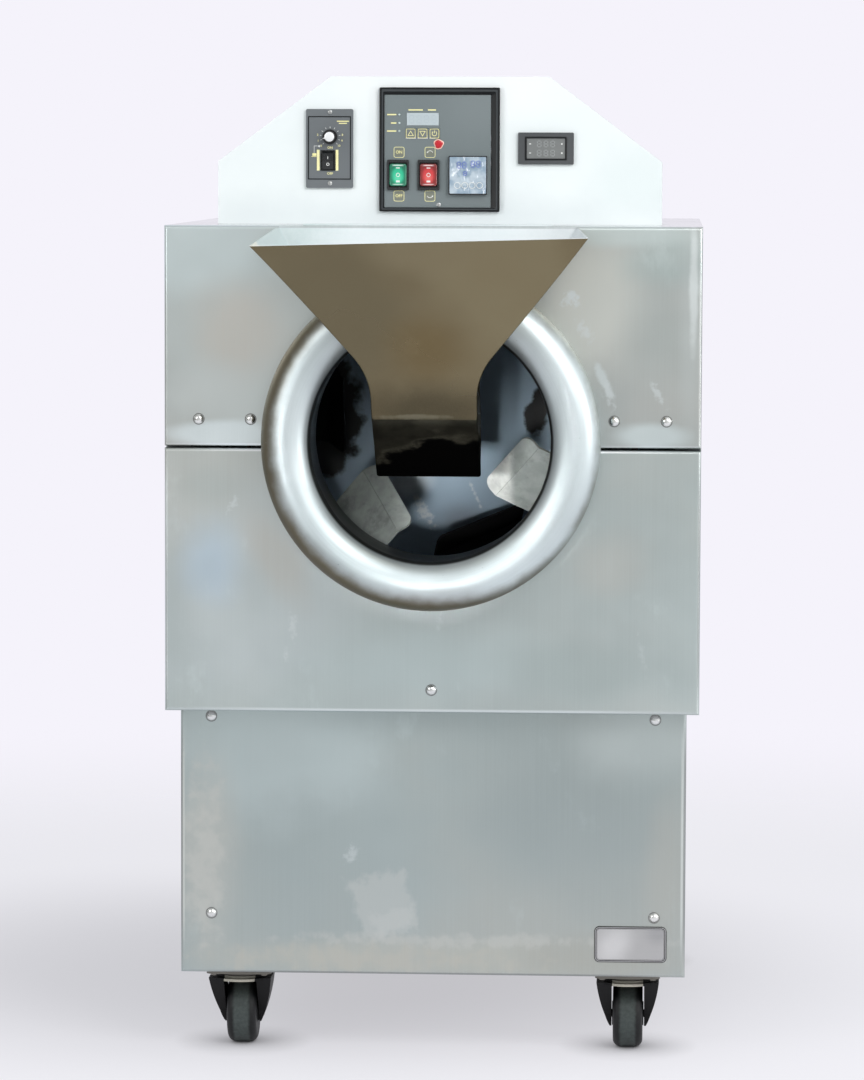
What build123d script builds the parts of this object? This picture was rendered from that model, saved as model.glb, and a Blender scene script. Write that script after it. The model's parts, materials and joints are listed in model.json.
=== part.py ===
from build123d import *
import os
from math import asin, atan2, cos, hypot, pi, radians, sin, tan

os.makedirs("parts", exist_ok=True)

# Driving dimensions, in millimetres.
# Depth is counted from the body's front face towards the rear, height from the floor.

# Sheets, plates and the gaps between them
sheet = 1.5
plate = 3
flange = 20
bend = 4
sheet_gap = 0.5
seam_gap = 2.5

# Upper body and base cabinet
body_width = 650
body_height = 590
body_depth = 780
base_width = 620
base_height = 329
base_setback = 40
base_rear_inset = 20

# Angle iron frames
angle_wall = 3
body_leg = 30
base_leg = 45

# Domed bolts of the front panels
bolt_head_radius = 6.5
bolt_head_height = 4
bolt_head_round = 3.6
bolt_shank_radius = 3
bolt_clearance = 0.3
bolt_block = 22
bolt_inset = 42
bolt_pair_spacing = 63
bolt_above_seam = 34
low_bolt_height = 28
base_bolt_inset = 38
base_bolt_drop = 11
base_bolt_height = 74

# Drum, its collar and what surrounds it
drum_radius = 215
drum_wall = 3
cone_length = 112
neck_length = 92
neck_step = 3.5
neck_clearance = 7
back_wall = 4
back_dish = 35
back_flat_radius = 80
collar_radius = 174.5
collar_tube_radius = 30
collar_wall = 2
collar_gap = 3
collar_slot_angle = 70
jacket_gap = 7
jacket_wall = 18
coil_wall = 8
coil_inset = 35
saddle_wall = 8
saddle_width = 300
saddle_inset = 22
saddle_rise = 90
top_clearance = 8.5
seam_below_axis = 10

# Folded mixing flights inside the drum, three behind the mouth and three deeper in
flight_wall = 3
front_flight_angles = (230, 335, 102)
front_flight_inset = 37
front_flight_length = 108
front_flight_lead = 41
front_flight_height = 91
front_flight_rise = 23
front_flight_lip = 23
front_flight_fold = -21
front_flight_corner = 14
rear_flight_angles = (172, 284, 52)
rear_flight_inset = 120
rear_flight_length = 180
rear_flight_lead = -52
rear_flight_height = 50
rear_flight_rise = 8
rear_flight_lip = 28
rear_flight_fold = 35
rear_flight_corner = 9

# Drum shaft, bearings and chain drive
shaft_radius = 20
shaft_bore = 10
shaft_length = 166
shaft_rear_clearance = 33.5
hub_radius = 68
hub_wall = 12
run_clearance = 0.05
bearing_length = 38
bearing_spacing = 56
hub_clearance = 7
bearing_wall = 16
bearing_foot = 14
bearing_foot_width = 150
stand_wall = 8
stand_margin = 6
chain_pitch = 12.7
drum_teeth = 38
motor_teeth = 14
tooth_rise = 3
roller_seat = 4.3
sprocket_wall = 7
sprocket_hub_wall = 14
sprocket_hub_rise = 8
sprocket_inset = 24
chain_plate = 1.6
chain_height = 11
chain_side_gap = 1.2
chain_pin_radius = 3.5
chain_pin_count = 9
chain_pin_margin = 60

# Support rollers under the drum's neck
roller_radius = 25
roller_width = 22
roller_gap = 0.3
roller_spread = 40
roller_setback = 58
roller_pin_radius = 8
bracket_wall = 3
bracket_side_gap = 2
bracket_width = 44
bracket_overrun = 10

# Gear motor
motor_frame = 90
motor_radius = 43
motor_length = 140
gearbox_length = 65
motor_foot = 6
motor_foot_margin = 12
motor_side_clearance = 50
motor_shaft_radius = 7.5
motor_shaft_seat = 40
motor_nose_gap = 6

# Induction driver in the base
driver_width = 300
driver_depth = 380
driver_height = 150
driver_wall = 2.5
driver_corner = 6
driver_fin_count = 9
driver_fin_height = 16
driver_fin_wall = 4

# Vents and cable gland at the rear
vent_length = 60
vent_width = 6
vent_pitch_x = 90
vent_pitch_z = 16
vent_columns = 4
vent_rows = 6
base_vent_height = 204
body_vent_inset = 118
gland_bore = 6.5
gland_thread = 10
gland_flat = 24
gland_nut = 6
gland_reach = 18
gland_inside = 12
gland_inset = 110
gland_height = 70

# Feed hopper
hopper_reach = 200
hopper_front_drop = 16
hopper_front_width = 395
hopper_back_width = 361
hopper_back_gap = 2
hopper_flare = 36.5
hopper_neck_round = 100
hopper_shift = -6
hopper_collar_gap = 6
chute_width = 127
chute_height = 65
chute_reach = 40
fold_reach = 60
fold_above_axis = 28
chute_drop = 47
hook_width = 300
hook_lip = 14
hook_rest_gap = 0.3
hook_slot = 4

# Control box on the body's top
box_width = 550
box_height = 182
box_depth = 170
box_setback = 160
box_top_width = 270
box_shoulder = 77
box_vent_rows = 3

# Control tray and what its plate carries, heights above the body's top
tray_width = 149
tray_height = 153
tray_centre_height = 92
tray_proud = 6
tray_recess = 3
tray_border_left = 6
tray_border_right = 11
tray_border_top = 9
tray_border_bottom = 5
tray_ledge = 3
tray_wall = 1.5
tray_body_depth = 25
control_plate_wall = 3
seat_gap = 0.2
display_width = 39.5
display_height = 15.3
display_x = -20.9
display_z = 129.5
display_proud = 0.6
key_size = 12
key_spacing = 14.7
key_x = -21.1
key_z = 111.8
key_proud = 1
key_back = 1.4
key_gap = 0.3
key_round = 1.2
rocker_z = 60.7
power_rocker_x = -51.3
direction_rocker_x = -13.5
rocker_width = 21.5
rocker_height = 28
rocker_tilt = 10
bezel_width = 27
bezel_height = 37.5
bezel_proud = 3
bezel_round = 1.5
controller_size = 48
controller_x = 35.3
controller_z = 60.5
controller_proud = 5
controller_body = 45
controller_body_depth = 60

# Rocker switch proportions, the same for all three switches
rocker_reach = 7
rocker_dish = 2
rocker_back = 3
rocker_back_share = 0.64
rocker_gap = 0.5
rocker_pivot_depth = 2
rocker_pin_radius = 1.5
rocker_pin_grip = 1
switch_wall = 1.5
switch_cavity = 11
switch_depth = 20

# Speed controller
speed_width = 58.5
speed_height = 97.3
speed_x = -136.3
speed_z = 93
speed_proud = 4
speed_body_margin = 3.5
speed_body_depth = 35
speed_corner = 2
knob_x = -135.7
knob_z = 107.3
knob_skirt_radius = 9.2
knob_skirt_height = 3
knob_radius = 6.6
knob_height = 13
knob_gap = 0.5
knob_shaft_radius = 3
knob_shaft_length = 9
knob_pointer_width = 1.2
knob_pointer_length = 4.6
knob_pointer_rise = 0.6
knob_pointer_angle = 195
speed_rocker_x = -138.2
speed_rocker_z = 78.3
speed_rocker_width = 14
speed_rocker_height = 20

# Panel meter
meter_width = 68.8
meter_height = 39.3
meter_x = 131.5
meter_z = 93.8
meter_proud = 4
meter_body_margin = 4
meter_body_depth = 30
meter_screen_width = 47.3
meter_screen_height = 24.9
meter_screen_wall = 2
meter_screen_sink = 0.8

# Casters
wheel_radius = 41
wheel_width = 36.8
wheel_shoulder = 9
wheel_hub_radius = 15
wheel_hub_width = 39
axle_radius = 5
axle_head_radius = 8
axle_head = 2.5
axle_recess = 0.6
fork_wall = 3
fork_clearance = 0.8
fork_crown_radius = 38.5
fork_crown_gap = 4
fork_tip_radius = 16
fork_front_reach = 27
fork_rear_reach = 35
fork_tip_wall = 1.7
fork_bulge = 2.7
fork_boss_radius = 12
fork_race = 2.5
fork_race_radius = 30
caster_trail = 28
caster_race_gap = 0.5
caster_race = 5
caster_race_radius = 27
caster_plate = 4
caster_plate_width = 80
caster_plate_depth = 90
caster_plate_corner = 8
caster_inset = 70
caster_front_inset = 55
kingpin_radius = 6
kingpin_top_gap = 2

# Places worked out from the driving dimensions
crown_bottom = 2 * wheel_radius + fork_crown_gap
crown_top = crown_bottom + fork_wall
fork_race_top = crown_top + fork_race
plate_race_bottom = fork_race_top + caster_race_gap
plate_bottom = plate_race_bottom + caster_race
base_bottom = plate_bottom + caster_plate
body_bottom = base_bottom + base_height
body_top = body_bottom + body_height
deck_top = body_bottom + plate
front_y = (hopper_reach - body_depth) / 2

jacket_radius = drum_radius + jacket_gap
jacket_outer_radius = jacket_radius + jacket_wall
coil_radius = jacket_outer_radius + coil_wall
axis_z = body_top - sheet - top_clearance - coil_radius
drum_inner_radius = drum_radius - drum_wall
neck_inner_radius = collar_radius - collar_tube_radius + neck_step
neck_radius = neck_inner_radius + drum_wall
mouth_radius = neck_radius + neck_clearance
collar_depth = -collar_gap - collar_tube_radius
cone_end = neck_length + cone_length
shaft_end = body_depth - sheet - shaft_rear_clearance
shaft_start = shaft_end - shaft_length
drum_end = shaft_start - back_wall - back_dish
sprocket_depth = shaft_end - sprocket_inset
seam_z = axis_z - seam_below_axis

base_rear = body_depth - base_rear_inset
base_frame_near = base_setback + flange + sheet_gap
body_frame_near = flange + sheet_gap
plate_front = box_setback - tray_proud + tray_recess
hook_low = body_top + hook_rest_gap
hook_back = body_frame_near + hook_slot
hook_front = body_frame_near + (hook_slot - sheet) / 2

bolt_x = body_width / 2 - bolt_inset
upper_bolt_z = seam_z + bolt_above_seam
front_bolts = [
    (side * x, upper_bolt_z) for side in (-1, 1) for x in (bolt_x, bolt_x - bolt_pair_spacing)
]
front_bolts.append((0, body_bottom + low_bolt_height))
base_bolt_x = base_width / 2 - base_bolt_inset
base_bolts = [
    (side * base_bolt_x, z)
    for side in (-1, 1)
    for z in (body_bottom - base_bolt_drop, base_bottom + base_bolt_height)
]


def facing_front(depth, x=0, z=0):
    """Plane at a depth, x to the right and y up, whose extrusions grow towards the viewer."""
    return Plane(origin=(x, front_y + depth, z), x_dir=(1, 0, 0), z_dir=(0, -1, 0))


def facing_rear(depth, x=0, z=0):
    """Plane at a depth, y up, whose extrusions grow towards the rear."""
    return Plane(origin=(x, front_y + depth, z), x_dir=(-1, 0, 0), z_dir=(0, 1, 0))


def seen_from_side(x=0, depth=0, z=0):
    """Plane across the width, x along the depth and y up."""
    return Plane(origin=(x, front_y + depth, z), x_dir=(0, 1, 0), z_dir=(1, 0, 0))


def lying_at(z, x=0, depth=0):
    """Level plane, x to the right and y along the depth."""
    return Plane(origin=(x, front_y + depth, z), x_dir=(1, 0, 0), z_dir=(0, 0, 1))


def keep(builder, node):
    """Labels a finished piece and writes its file."""
    builder.part.label = node
    export_step(builder.part, f"parts/{node}.step")


def block(width, near, far, low, high, x=0, mode=Mode.ADD):
    """Adds a box by its width, its depths and its heights."""
    with Locations((x, front_y + (near + far) / 2, (low + high) / 2)):
        Box(width, far - near, high - low, mode=mode)


def bolt_holes(places, depth, radius, length):
    """Cuts round holes that run back from a depth."""
    with BuildSketch(facing_front(depth)) as holes:
        with Locations(*places):
            Circle(radius)
    extrude(holes.sketch, amount=-length, mode=Mode.SUBTRACT)


def folded_tray(width, low, high, near):
    """Adds a sheet panel that faces the front with its four edges folded back."""
    with BuildSketch(facing_front(near + flange, z=(low + high) / 2)) as outline:
        Rectangle(width, high - low)
    extrude(outline.sketch, amount=flange)
    fillet(faces().sort_by(Axis.Y)[0].edges(), radius=bend)
    offset(amount=-sheet, openings=faces().sort_by(Axis.Y)[-1])


def angle_frame(width, near, far, low, high, leg):
    """Adds a welded frame of angle iron: a thin box with a window in each face."""
    depth = far - near
    height = high - low
    past = angle_wall
    with Locations((0, front_y + (near + far) / 2, (low + high) / 2)):
        Box(width, depth, height)
        Box(width - 2 * angle_wall, depth - 2 * angle_wall, height - 2 * angle_wall, mode=Mode.SUBTRACT)
        Box(width + past, depth - 2 * leg, height - 2 * leg, mode=Mode.SUBTRACT)
        Box(width - 2 * leg, depth + past, height - 2 * leg, mode=Mode.SUBTRACT)
        Box(width - 2 * leg, depth - 2 * leg, height + past, mode=Mode.SUBTRACT)


def vent_slots(depth, z, rows):
    """Cuts rows of level slots through a sheet at the rear."""
    with BuildSketch(facing_rear(depth, z=z)) as slots:
        with GridLocations(vent_pitch_x, vent_pitch_z, vent_columns, rows):
            SlotOverall(vent_length, vent_width)
    extrude(slots.sketch, amount=-2 * sheet, mode=Mode.SUBTRACT)


# Frames of base and body, with a block behind each bolt
with BuildPart() as cabinet_frame:
    body_frame_width = body_width - 2 * (sheet + sheet_gap)
    base_frame_width = base_width - 2 * (sheet + sheet_gap)
    angle_frame(
        body_frame_width, body_frame_near, body_depth - sheet - sheet_gap,
        deck_top, body_top - sheet - sheet_gap, body_leg,
    )
    stub_outer = body_frame_width / 2 - angle_wall
    stub_inner = bolt_x - bolt_pair_spacing - bolt_block / 2
    for side in (-1, 1):
        block(
            stub_outer - stub_inner, body_frame_near, body_frame_near + angle_wall,
            upper_bolt_z - bolt_block / 2, upper_bolt_z + bolt_block / 2,
            x=side * (stub_outer + stub_inner) / 2,
        )
    for x, z in front_bolts:
        block(
            bolt_block, sheet + sheet_gap, body_frame_near,
            z - bolt_block / 2, z + bolt_block / 2, x=x,
        )
    bolt_holes(front_bolts, 0, bolt_shank_radius, flange)
    block(
        hook_width + 2 * hook_slot, body_frame_near - angle_wall, hook_back,
        hook_low - hook_lip - hook_slot, body_top, x=hopper_shift, mode=Mode.SUBTRACT,
    )
    angle_frame(
        base_frame_width, base_frame_near, base_rear - sheet - sheet_gap,
        base_bottom + plate, body_bottom, base_leg,
    )
    for x, z in base_bolts:
        block(
            bolt_block, base_setback + sheet + sheet_gap, base_frame_near,
            z - bolt_block / 2, min(z + bolt_block / 2, body_bottom - bend - 2 * sheet_gap), x=x,
        )
    bolt_holes(base_bolts, base_setback, bolt_shank_radius, flange)
keep(cabinet_frame, "cabinet_frame")

# Base cabinet
with BuildPart() as base_front_panel:
    folded_tray(base_width, base_bottom, body_bottom - sheet_gap, base_setback)
    bolt_holes(base_bolts, base_setback, bolt_shank_radius + bolt_clearance, 2 * sheet)
keep(base_front_panel, "base_front_panel")

for side, node in ((-1, "base_left_panel"), (1, "base_right_panel")):
    with BuildPart() as base_side_panel:
        block(
            sheet, base_frame_near, base_rear - sheet - sheet_gap / 2,
            base_bottom, body_bottom - sheet_gap, x=side * (base_width - sheet) / 2,
        )
    keep(base_side_panel, node)

gland_x = base_width / 2 - gland_inset
gland_z = base_bottom + gland_height
with BuildPart() as base_rear_panel:
    block(base_width, base_rear - sheet, base_rear, base_bottom, body_bottom - sheet_gap)
    vent_slots(base_rear, base_bottom + base_vent_height, vent_rows)
    with BuildSketch(facing_rear(base_rear)):
        with Locations((-gland_x, gland_z)):
            Circle(gland_thread + bolt_clearance)
    extrude(amount=-2 * sheet, mode=Mode.SUBTRACT)
keep(base_rear_panel, "base_rear_panel")

with BuildPart() as base_floor:
    block(
        base_width - 2 * (sheet + sheet_gap), base_frame_near, base_rear - sheet - sheet_gap,
        base_bottom, base_bottom + plate,
    )
keep(base_floor, "base_floor")

with BuildPart() as cable_gland:
    with BuildSketch(facing_rear(base_rear, z=gland_z)):
        with Locations((-gland_x, 0)):
            RegularPolygon(gland_flat / 2, 6, major_radius=False)
    extrude(amount=gland_nut)
    with BuildSketch(facing_rear(base_rear + gland_nut, z=gland_z)):
        with Locations((-gland_x, 0)):
            Circle(gland_thread)
    extrude(amount=gland_reach - gland_nut)
    fillet(faces().sort_by(Axis.Y)[-1].edges(), radius=gland_thread / 4)
    with BuildSketch(facing_rear(base_rear, z=gland_z)):
        with Locations((-gland_x, 0)):
            Circle(gland_thread)
    extrude(amount=-gland_inside)
    with BuildSketch(facing_rear(base_rear - sheet, z=gland_z)):
        with Locations((-gland_x, 0)):
            RegularPolygon(gland_flat / 2, 6, major_radius=False)
    extrude(amount=-gland_nut)
    with BuildSketch(facing_rear(base_rear + gland_reach, z=gland_z)):
        with Locations((-gland_x, 0)):
            Circle(gland_bore)
    extrude(amount=-gland_reach - gland_inside, mode=Mode.SUBTRACT)
keep(cable_gland, "cable_gland")

with BuildPart() as induction_driver:
    driver_floor = base_bottom + plate
    driver_middle = (base_setback + base_rear) / 2
    driver_lid = driver_floor + driver_height - driver_fin_height
    block(
        driver_width, driver_middle - driver_depth / 2, driver_middle + driver_depth / 2,
        driver_floor, driver_lid,
    )
    fillet(edges().filter_by(Axis.Z), radius=driver_corner)
    offset(amount=-driver_wall, openings=faces().sort_by(Axis.Z)[0])
    with BuildSketch(lying_at(driver_lid, depth=driver_middle)):
        fin_pitch = (driver_width - 2 * driver_corner - driver_fin_wall) / (driver_fin_count - 1)
        with GridLocations(fin_pitch, 0, driver_fin_count, 1):
            Rectangle(driver_fin_wall, driver_depth - 4 * driver_corner)
    extrude(amount=driver_fin_height)
keep(induction_driver, "induction_driver")

# Upper body
with BuildPart() as body_deck:
    block(
        body_width - 2 * (sheet + sheet_gap), body_frame_near, body_depth - sheet - sheet_gap,
        body_bottom, deck_top,
    )
keep(body_deck, "body_deck")

with BuildPart() as upper_front_panel:
    folded_tray(body_width, seam_z + seam_gap / 2, body_top, 0)
    bolt_holes([(0, axis_z)], 0, mouth_radius, 2 * flange)
    bolt_holes(front_bolts, 0, bolt_shank_radius + bolt_clearance, 2 * sheet)
keep(upper_front_panel, "upper_front_panel")

with BuildPart() as lower_front_panel:
    folded_tray(body_width, body_bottom, seam_z - seam_gap / 2, 0)
    bolt_holes([(0, axis_z)], 0, mouth_radius, 2 * flange)
    bolt_holes(front_bolts, 0, bolt_shank_radius + bolt_clearance, 2 * sheet)
keep(lower_front_panel, "lower_front_panel")

for side, node in ((-1, "body_left_panel"), (1, "body_right_panel")):
    with BuildPart() as body_side_panel:
        block(
            sheet, body_frame_near, body_depth - sheet - sheet_gap / 2,
            body_bottom, body_top - sheet - sheet_gap / 2, x=side * (body_width - sheet) / 2,
        )
    keep(body_side_panel, node)

with BuildPart() as body_rear_panel:
    block(body_width, body_depth - sheet, body_depth, body_bottom, body_top - sheet - sheet_gap / 2)
    vent_slots(body_depth, body_top - body_vent_inset, vent_rows)
    vent_slots(body_depth, body_bottom + body_vent_inset, vent_rows)
keep(body_rear_panel, "body_rear_panel")

with BuildPart() as body_top_panel:
    block(body_width, body_frame_near, body_depth, body_top - sheet, body_top)
    block(
        hook_width + 2 * hook_slot, 0, hook_back,
        body_top - 2 * sheet, body_top + sheet, x=hopper_shift, mode=Mode.SUBTRACT,
    )
keep(body_top_panel, "body_top_panel")

with BuildPart() as panel_bolts:
    for places, depth in ((front_bolts, 0), (base_bolts, base_setback)):
        with BuildSketch(facing_front(depth)):
            with Locations(*places):
                Circle(bolt_head_radius)
        extrude(amount=bolt_head_height)
        with BuildSketch(facing_front(depth)):
            with Locations(*places):
                Circle(bolt_shank_radius)
        extrude(amount=-flange)
    head_edges = edges().filter_by(GeomType.CIRCLE).filter_by(
        lambda edge: edge.radius > bolt_shank_radius + bolt_clearance
    )
    rims = [
        edge
        for edge in head_edges
        for depth in (0, base_setback)
        if abs(edge.center().Y - (front_y + depth - bolt_head_height)) < bolt_clearance
    ]
    fillet(rims, radius=bolt_head_round)
keep(panel_bolts, "panel_bolts")

# Insulation and coil round the drum, carried by saddles
drum_axis = Axis((0, front_y, axis_z), (0, 1, 0))


def sleeve(near, far, inner, outer):
    """Adds a tube round the drum's axis."""
    with BuildSketch(facing_rear(near, z=axis_z)) as ring:
        Circle(outer)
        Circle(inner, mode=Mode.SUBTRACT)
    extrude(ring.sketch, amount=far - near)


with BuildPart() as insulation_jacket:
    sleeve(cone_end, drum_end, jacket_radius, jacket_outer_radius)
keep(insulation_jacket, "insulation_jacket")

with BuildPart() as coil_winding:
    sleeve(cone_end + coil_inset, drum_end - coil_inset, jacket_outer_radius, coil_radius)
keep(coil_winding, "coil_winding")

with BuildPart() as jacket_saddles:
    for depth in (cone_end + saddle_inset, drum_end - saddle_inset):
        block(
            saddle_width, depth - saddle_wall / 2, depth + saddle_wall / 2,
            deck_top, axis_z - jacket_outer_radius + saddle_rise,
        )
        with BuildSketch(facing_rear(depth - saddle_wall, z=axis_z)):
            Circle(jacket_outer_radius)
        extrude(amount=2 * saddle_wall, mode=Mode.SUBTRACT)
keep(jacket_saddles, "jacket_saddles")

# Drum
with BuildPart() as drum_shell:
    with BuildSketch(seen_from_side(z=axis_z)):
        with BuildLine():
            Polyline(
                (collar_depth, neck_inner_radius),
                (neck_length, neck_inner_radius),
                (cone_end, drum_inner_radius),
                (drum_end, drum_inner_radius),
                (drum_end, drum_radius),
                (cone_end, drum_radius),
                (neck_length, neck_radius),
                (collar_depth, neck_radius),
                close=True,
            )
        make_face()
        with Locations((collar_depth, collar_radius)):
            Circle(collar_tube_radius, mode=Mode.SUBTRACT)
        weld_line = collar_depth + collar_tube_radius / 4
        with Locations((weld_line - collar_tube_radius, collar_radius)):
            Rectangle(2 * collar_tube_radius, 4 * collar_tube_radius, mode=Mode.SUBTRACT)
    revolve(axis=drum_axis)
keep(drum_shell, "drum_shell")

with BuildPart() as drum_back:
    with BuildSketch(seen_from_side(z=axis_z)):
        with BuildLine():
            Polyline(
                (drum_end, drum_radius),
                (drum_end, drum_inner_radius - back_wall),
                (drum_end + back_dish, back_flat_radius),
                (drum_end + back_dish, 0),
                (shaft_start, 0),
                (shaft_start, back_flat_radius + back_wall),
                (drum_end + back_wall, drum_inner_radius),
                (drum_end + back_wall, drum_radius),
                close=True,
            )
        make_face()
    revolve(axis=drum_axis)
keep(drum_back, "drum_back")

with BuildPart() as drum_collar:
    with BuildSketch(seen_from_side(z=axis_z)):
        with Locations((collar_depth, collar_radius)):
            Circle(collar_tube_radius)
            Circle(collar_tube_radius - collar_wall, mode=Mode.SUBTRACT)
            slot_half = collar_tube_radius * tan(radians(collar_slot_angle / 2))
            Polygon(
                (0, 0), (collar_tube_radius, -slot_half), (collar_tube_radius, slot_half),
                align=None, mode=Mode.SUBTRACT,
            )
    revolve(axis=drum_axis)
keep(drum_collar, "drum_collar")

with BuildPart() as drum_room:
    with BuildSketch(seen_from_side(z=axis_z)):
        with BuildLine():
            Polyline(
                (neck_length, 0),
                (neck_length, neck_inner_radius),
                (cone_end, drum_inner_radius),
                (drum_end, drum_inner_radius),
                (drum_end, 0),
                close=True,
            )
        make_face()
    revolve(axis=drum_axis)


def folded_flight(turn, depth, length, lead, height, rise, lip_width, fold, corner):
    """Adds a flat plate that stands in from the drum's wall, with a lip folded along its free edge.

    turn is its place round the drum and lead the slant of its weld to the circumference, in degrees.
    height is its height at the end near the mouth, and rise what the deep end has more. A positive fold
    turns the lip towards the mouth.
    """
    outwards = Vector(cos(radians(turn)), 0, sin(radians(turn)))
    around = Vector(-sin(radians(turn)), 0, cos(radians(turn)))
    rearwards = Vector(0, 1, 0)
    along = around * cos(radians(lead)) - rearwards * sin(radians(lead))
    normal = rearwards * -cos(radians(lead)) - around * sin(radians(lead))
    weld = Vector(0, front_y + depth, axis_z) + outwards * drum_inner_radius
    half = length / 2
    mirror_side = 1 if lead > 0 else -1
    near_end = (mirror_side * half, height)
    deep_end = (-mirror_side * half, height + rise)
    with BuildSketch(Plane(origin=weld, x_dir=along, z_dir=normal)) as web:
        Polygon(
            (mirror_side * half, -jacket_wall), near_end, deep_end, (-mirror_side * half, -jacket_wall),
            align=None,
        )
    extrude(web.sketch, amount=flight_wall / 2, both=True)
    left, right = sorted((near_end, deep_end))
    start = weld + along * left[0] - outwards * left[1]
    finish = weld + along * right[0] - outwards * right[1]
    fold_line = (finish - start).normalized()
    lip_normal = normal * cos(radians(fold)) - normal.cross(fold_line) * sin(radians(fold))
    with BuildSketch(Plane(origin=start, x_dir=fold_line, z_dir=lip_normal)) as lip:
        span = (finish - start).length
        with Locations((span / 2, lip_width / 2)):
            Rectangle(span, lip_width)
        fillet(lip.vertices().group_by(Axis.Y)[-1], radius=corner)
    extrude(lip.sketch, amount=flight_wall / 2, both=True)


with BuildPart() as drum_flights:
    for turn in front_flight_angles:
        folded_flight(
            turn, neck_length + front_flight_inset, front_flight_length, front_flight_lead,
            front_flight_height, front_flight_rise, front_flight_lip, front_flight_fold, front_flight_corner,
        )
    for turn in rear_flight_angles:
        folded_flight(
            turn, drum_end - rear_flight_inset, rear_flight_length, rear_flight_lead,
            rear_flight_height, rear_flight_rise, rear_flight_lip, rear_flight_fold, rear_flight_corner,
        )
    add(drum_room.part, mode=Mode.INTERSECT)
keep(drum_flights, "drum_flights")

with BuildPart() as drum_shaft:
    sleeve(shaft_start, shaft_start + hub_wall, shaft_bore, hub_radius)
    sleeve(shaft_start, shaft_end, shaft_bore, shaft_radius)
keep(drum_shaft, "drum_shaft")

# Bearings and their stand
bearing_first = shaft_start + hub_wall + hub_clearance + stand_margin + bearing_length / 2
bearing_depths = [bearing_first, bearing_first + bearing_spacing]
bearing_low = axis_z - shaft_radius - bearing_wall - bearing_foot
with BuildPart() as shaft_bearings:
    for depth in bearing_depths:
        near = depth - bearing_length / 2
        far = depth + bearing_length / 2
        block(bearing_foot_width, near, far, bearing_low, bearing_low + bearing_foot)
        block(2 * shaft_radius + bearing_wall, near, far, bearing_low, axis_z)
        with BuildSketch(facing_rear(near, z=axis_z)):
            Circle(shaft_radius + bearing_wall)
        extrude(amount=bearing_length)
        with BuildSketch(facing_rear(near, z=axis_z)):
            Circle(shaft_radius + run_clearance)
        extrude(amount=bearing_length, mode=Mode.SUBTRACT)
keep(shaft_bearings, "shaft_bearings")

with BuildPart() as bearing_stand:
    stand_near = bearing_depths[0] - bearing_length / 2 - stand_margin
    stand_far = bearing_depths[1] + bearing_length / 2 + stand_margin
    stand_width = bearing_foot_width + 2 * stand_margin
    block(stand_width, stand_near, stand_far, bearing_low - stand_wall, bearing_low)
    block(stand_width, stand_near, stand_far, deck_top, deck_top + stand_wall)
    for side in (-1, 1):
        block(
            stand_wall, stand_near, stand_far, deck_top, bearing_low,
            x=side * (stand_width - stand_wall) / 2,
        )
    block(stand_width, stand_near, stand_near + stand_wall, deck_top, bearing_low)
keep(bearing_stand, "bearing_stand")

# Chain drive
motor_x = body_width / 2 - motor_side_clearance - motor_frame / 2
motor_z = deck_top + motor_foot + motor_frame / 2


def pitch_radius(teeth):
    """Radius of the circle on which the chain's pins run."""
    return chain_pitch / (2 * sin(pi / teeth))


def sprocket(teeth, bore, x, z):
    """Adds a toothed wheel with a hub towards the rear: a disc with a round seat for each roller."""
    with BuildSketch(facing_rear(sprocket_depth - sprocket_wall / 2, x=x, z=z)) as teeth_ring:
        Circle(pitch_radius(teeth) + tooth_rise)
        with PolarLocations(pitch_radius(teeth), teeth):
            Circle(roller_seat, mode=Mode.SUBTRACT)
    extrude(teeth_ring.sketch, amount=sprocket_wall)
    with BuildSketch(facing_rear(sprocket_depth, x=x, z=z)) as hub:
        Circle(bore + sprocket_hub_rise)
    extrude(hub.sketch, amount=sprocket_hub_wall)
    with BuildSketch(facing_rear(sprocket_depth - sprocket_wall, x=x, z=z)) as hole:
        Circle(bore)
    extrude(hole.sketch, amount=sprocket_wall + sprocket_hub_wall, mode=Mode.SUBTRACT)


with BuildPart() as drum_sprocket:
    sprocket(drum_teeth, shaft_radius, 0, axis_z)
keep(drum_sprocket, "drum_sprocket")

gearbox_rear = sprocket_depth - sprocket_wall / 2 - chain_side_gap - chain_plate - motor_nose_gap
gearbox_front = gearbox_rear - gearbox_length
with BuildPart() as motor_sprocket:
    sprocket(motor_teeth, motor_shaft_radius, motor_x, motor_z)
    with BuildSketch(facing_rear(gearbox_rear - motor_shaft_seat, x=motor_x, z=motor_z)):
        Circle(motor_shaft_radius)
    extrude(amount=sprocket_depth + sprocket_hub_wall - gearbox_rear + motor_shaft_seat)
keep(motor_sprocket, "motor_sprocket")

with BuildPart() as gear_motor:
    foot_width = motor_frame + 2 * motor_foot_margin
    block(
        foot_width, gearbox_front - motor_length / 2, gearbox_rear,
        deck_top, deck_top + motor_foot, x=motor_x,
    )
    block(
        motor_frame, gearbox_front, gearbox_rear,
        motor_z - motor_frame / 2, motor_z + motor_frame / 2, x=motor_x,
    )
    fillet(edges().filter_by(Axis.Y).group_by(Axis.Z)[-1], radius=motor_foot)
    with BuildSketch(facing_front(gearbox_front, x=motor_x, z=motor_z)):
        Circle(motor_radius)
    extrude(amount=motor_length)
    fillet(faces().sort_by(Axis.Y)[0].edges(), radius=motor_foot)
    with BuildSketch(facing_front(gearbox_rear, x=motor_x, z=motor_z)):
        Circle(motor_shaft_radius + run_clearance)
    extrude(amount=motor_shaft_seat + motor_foot, mode=Mode.SUBTRACT)
keep(gear_motor, "gear_motor")

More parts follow.
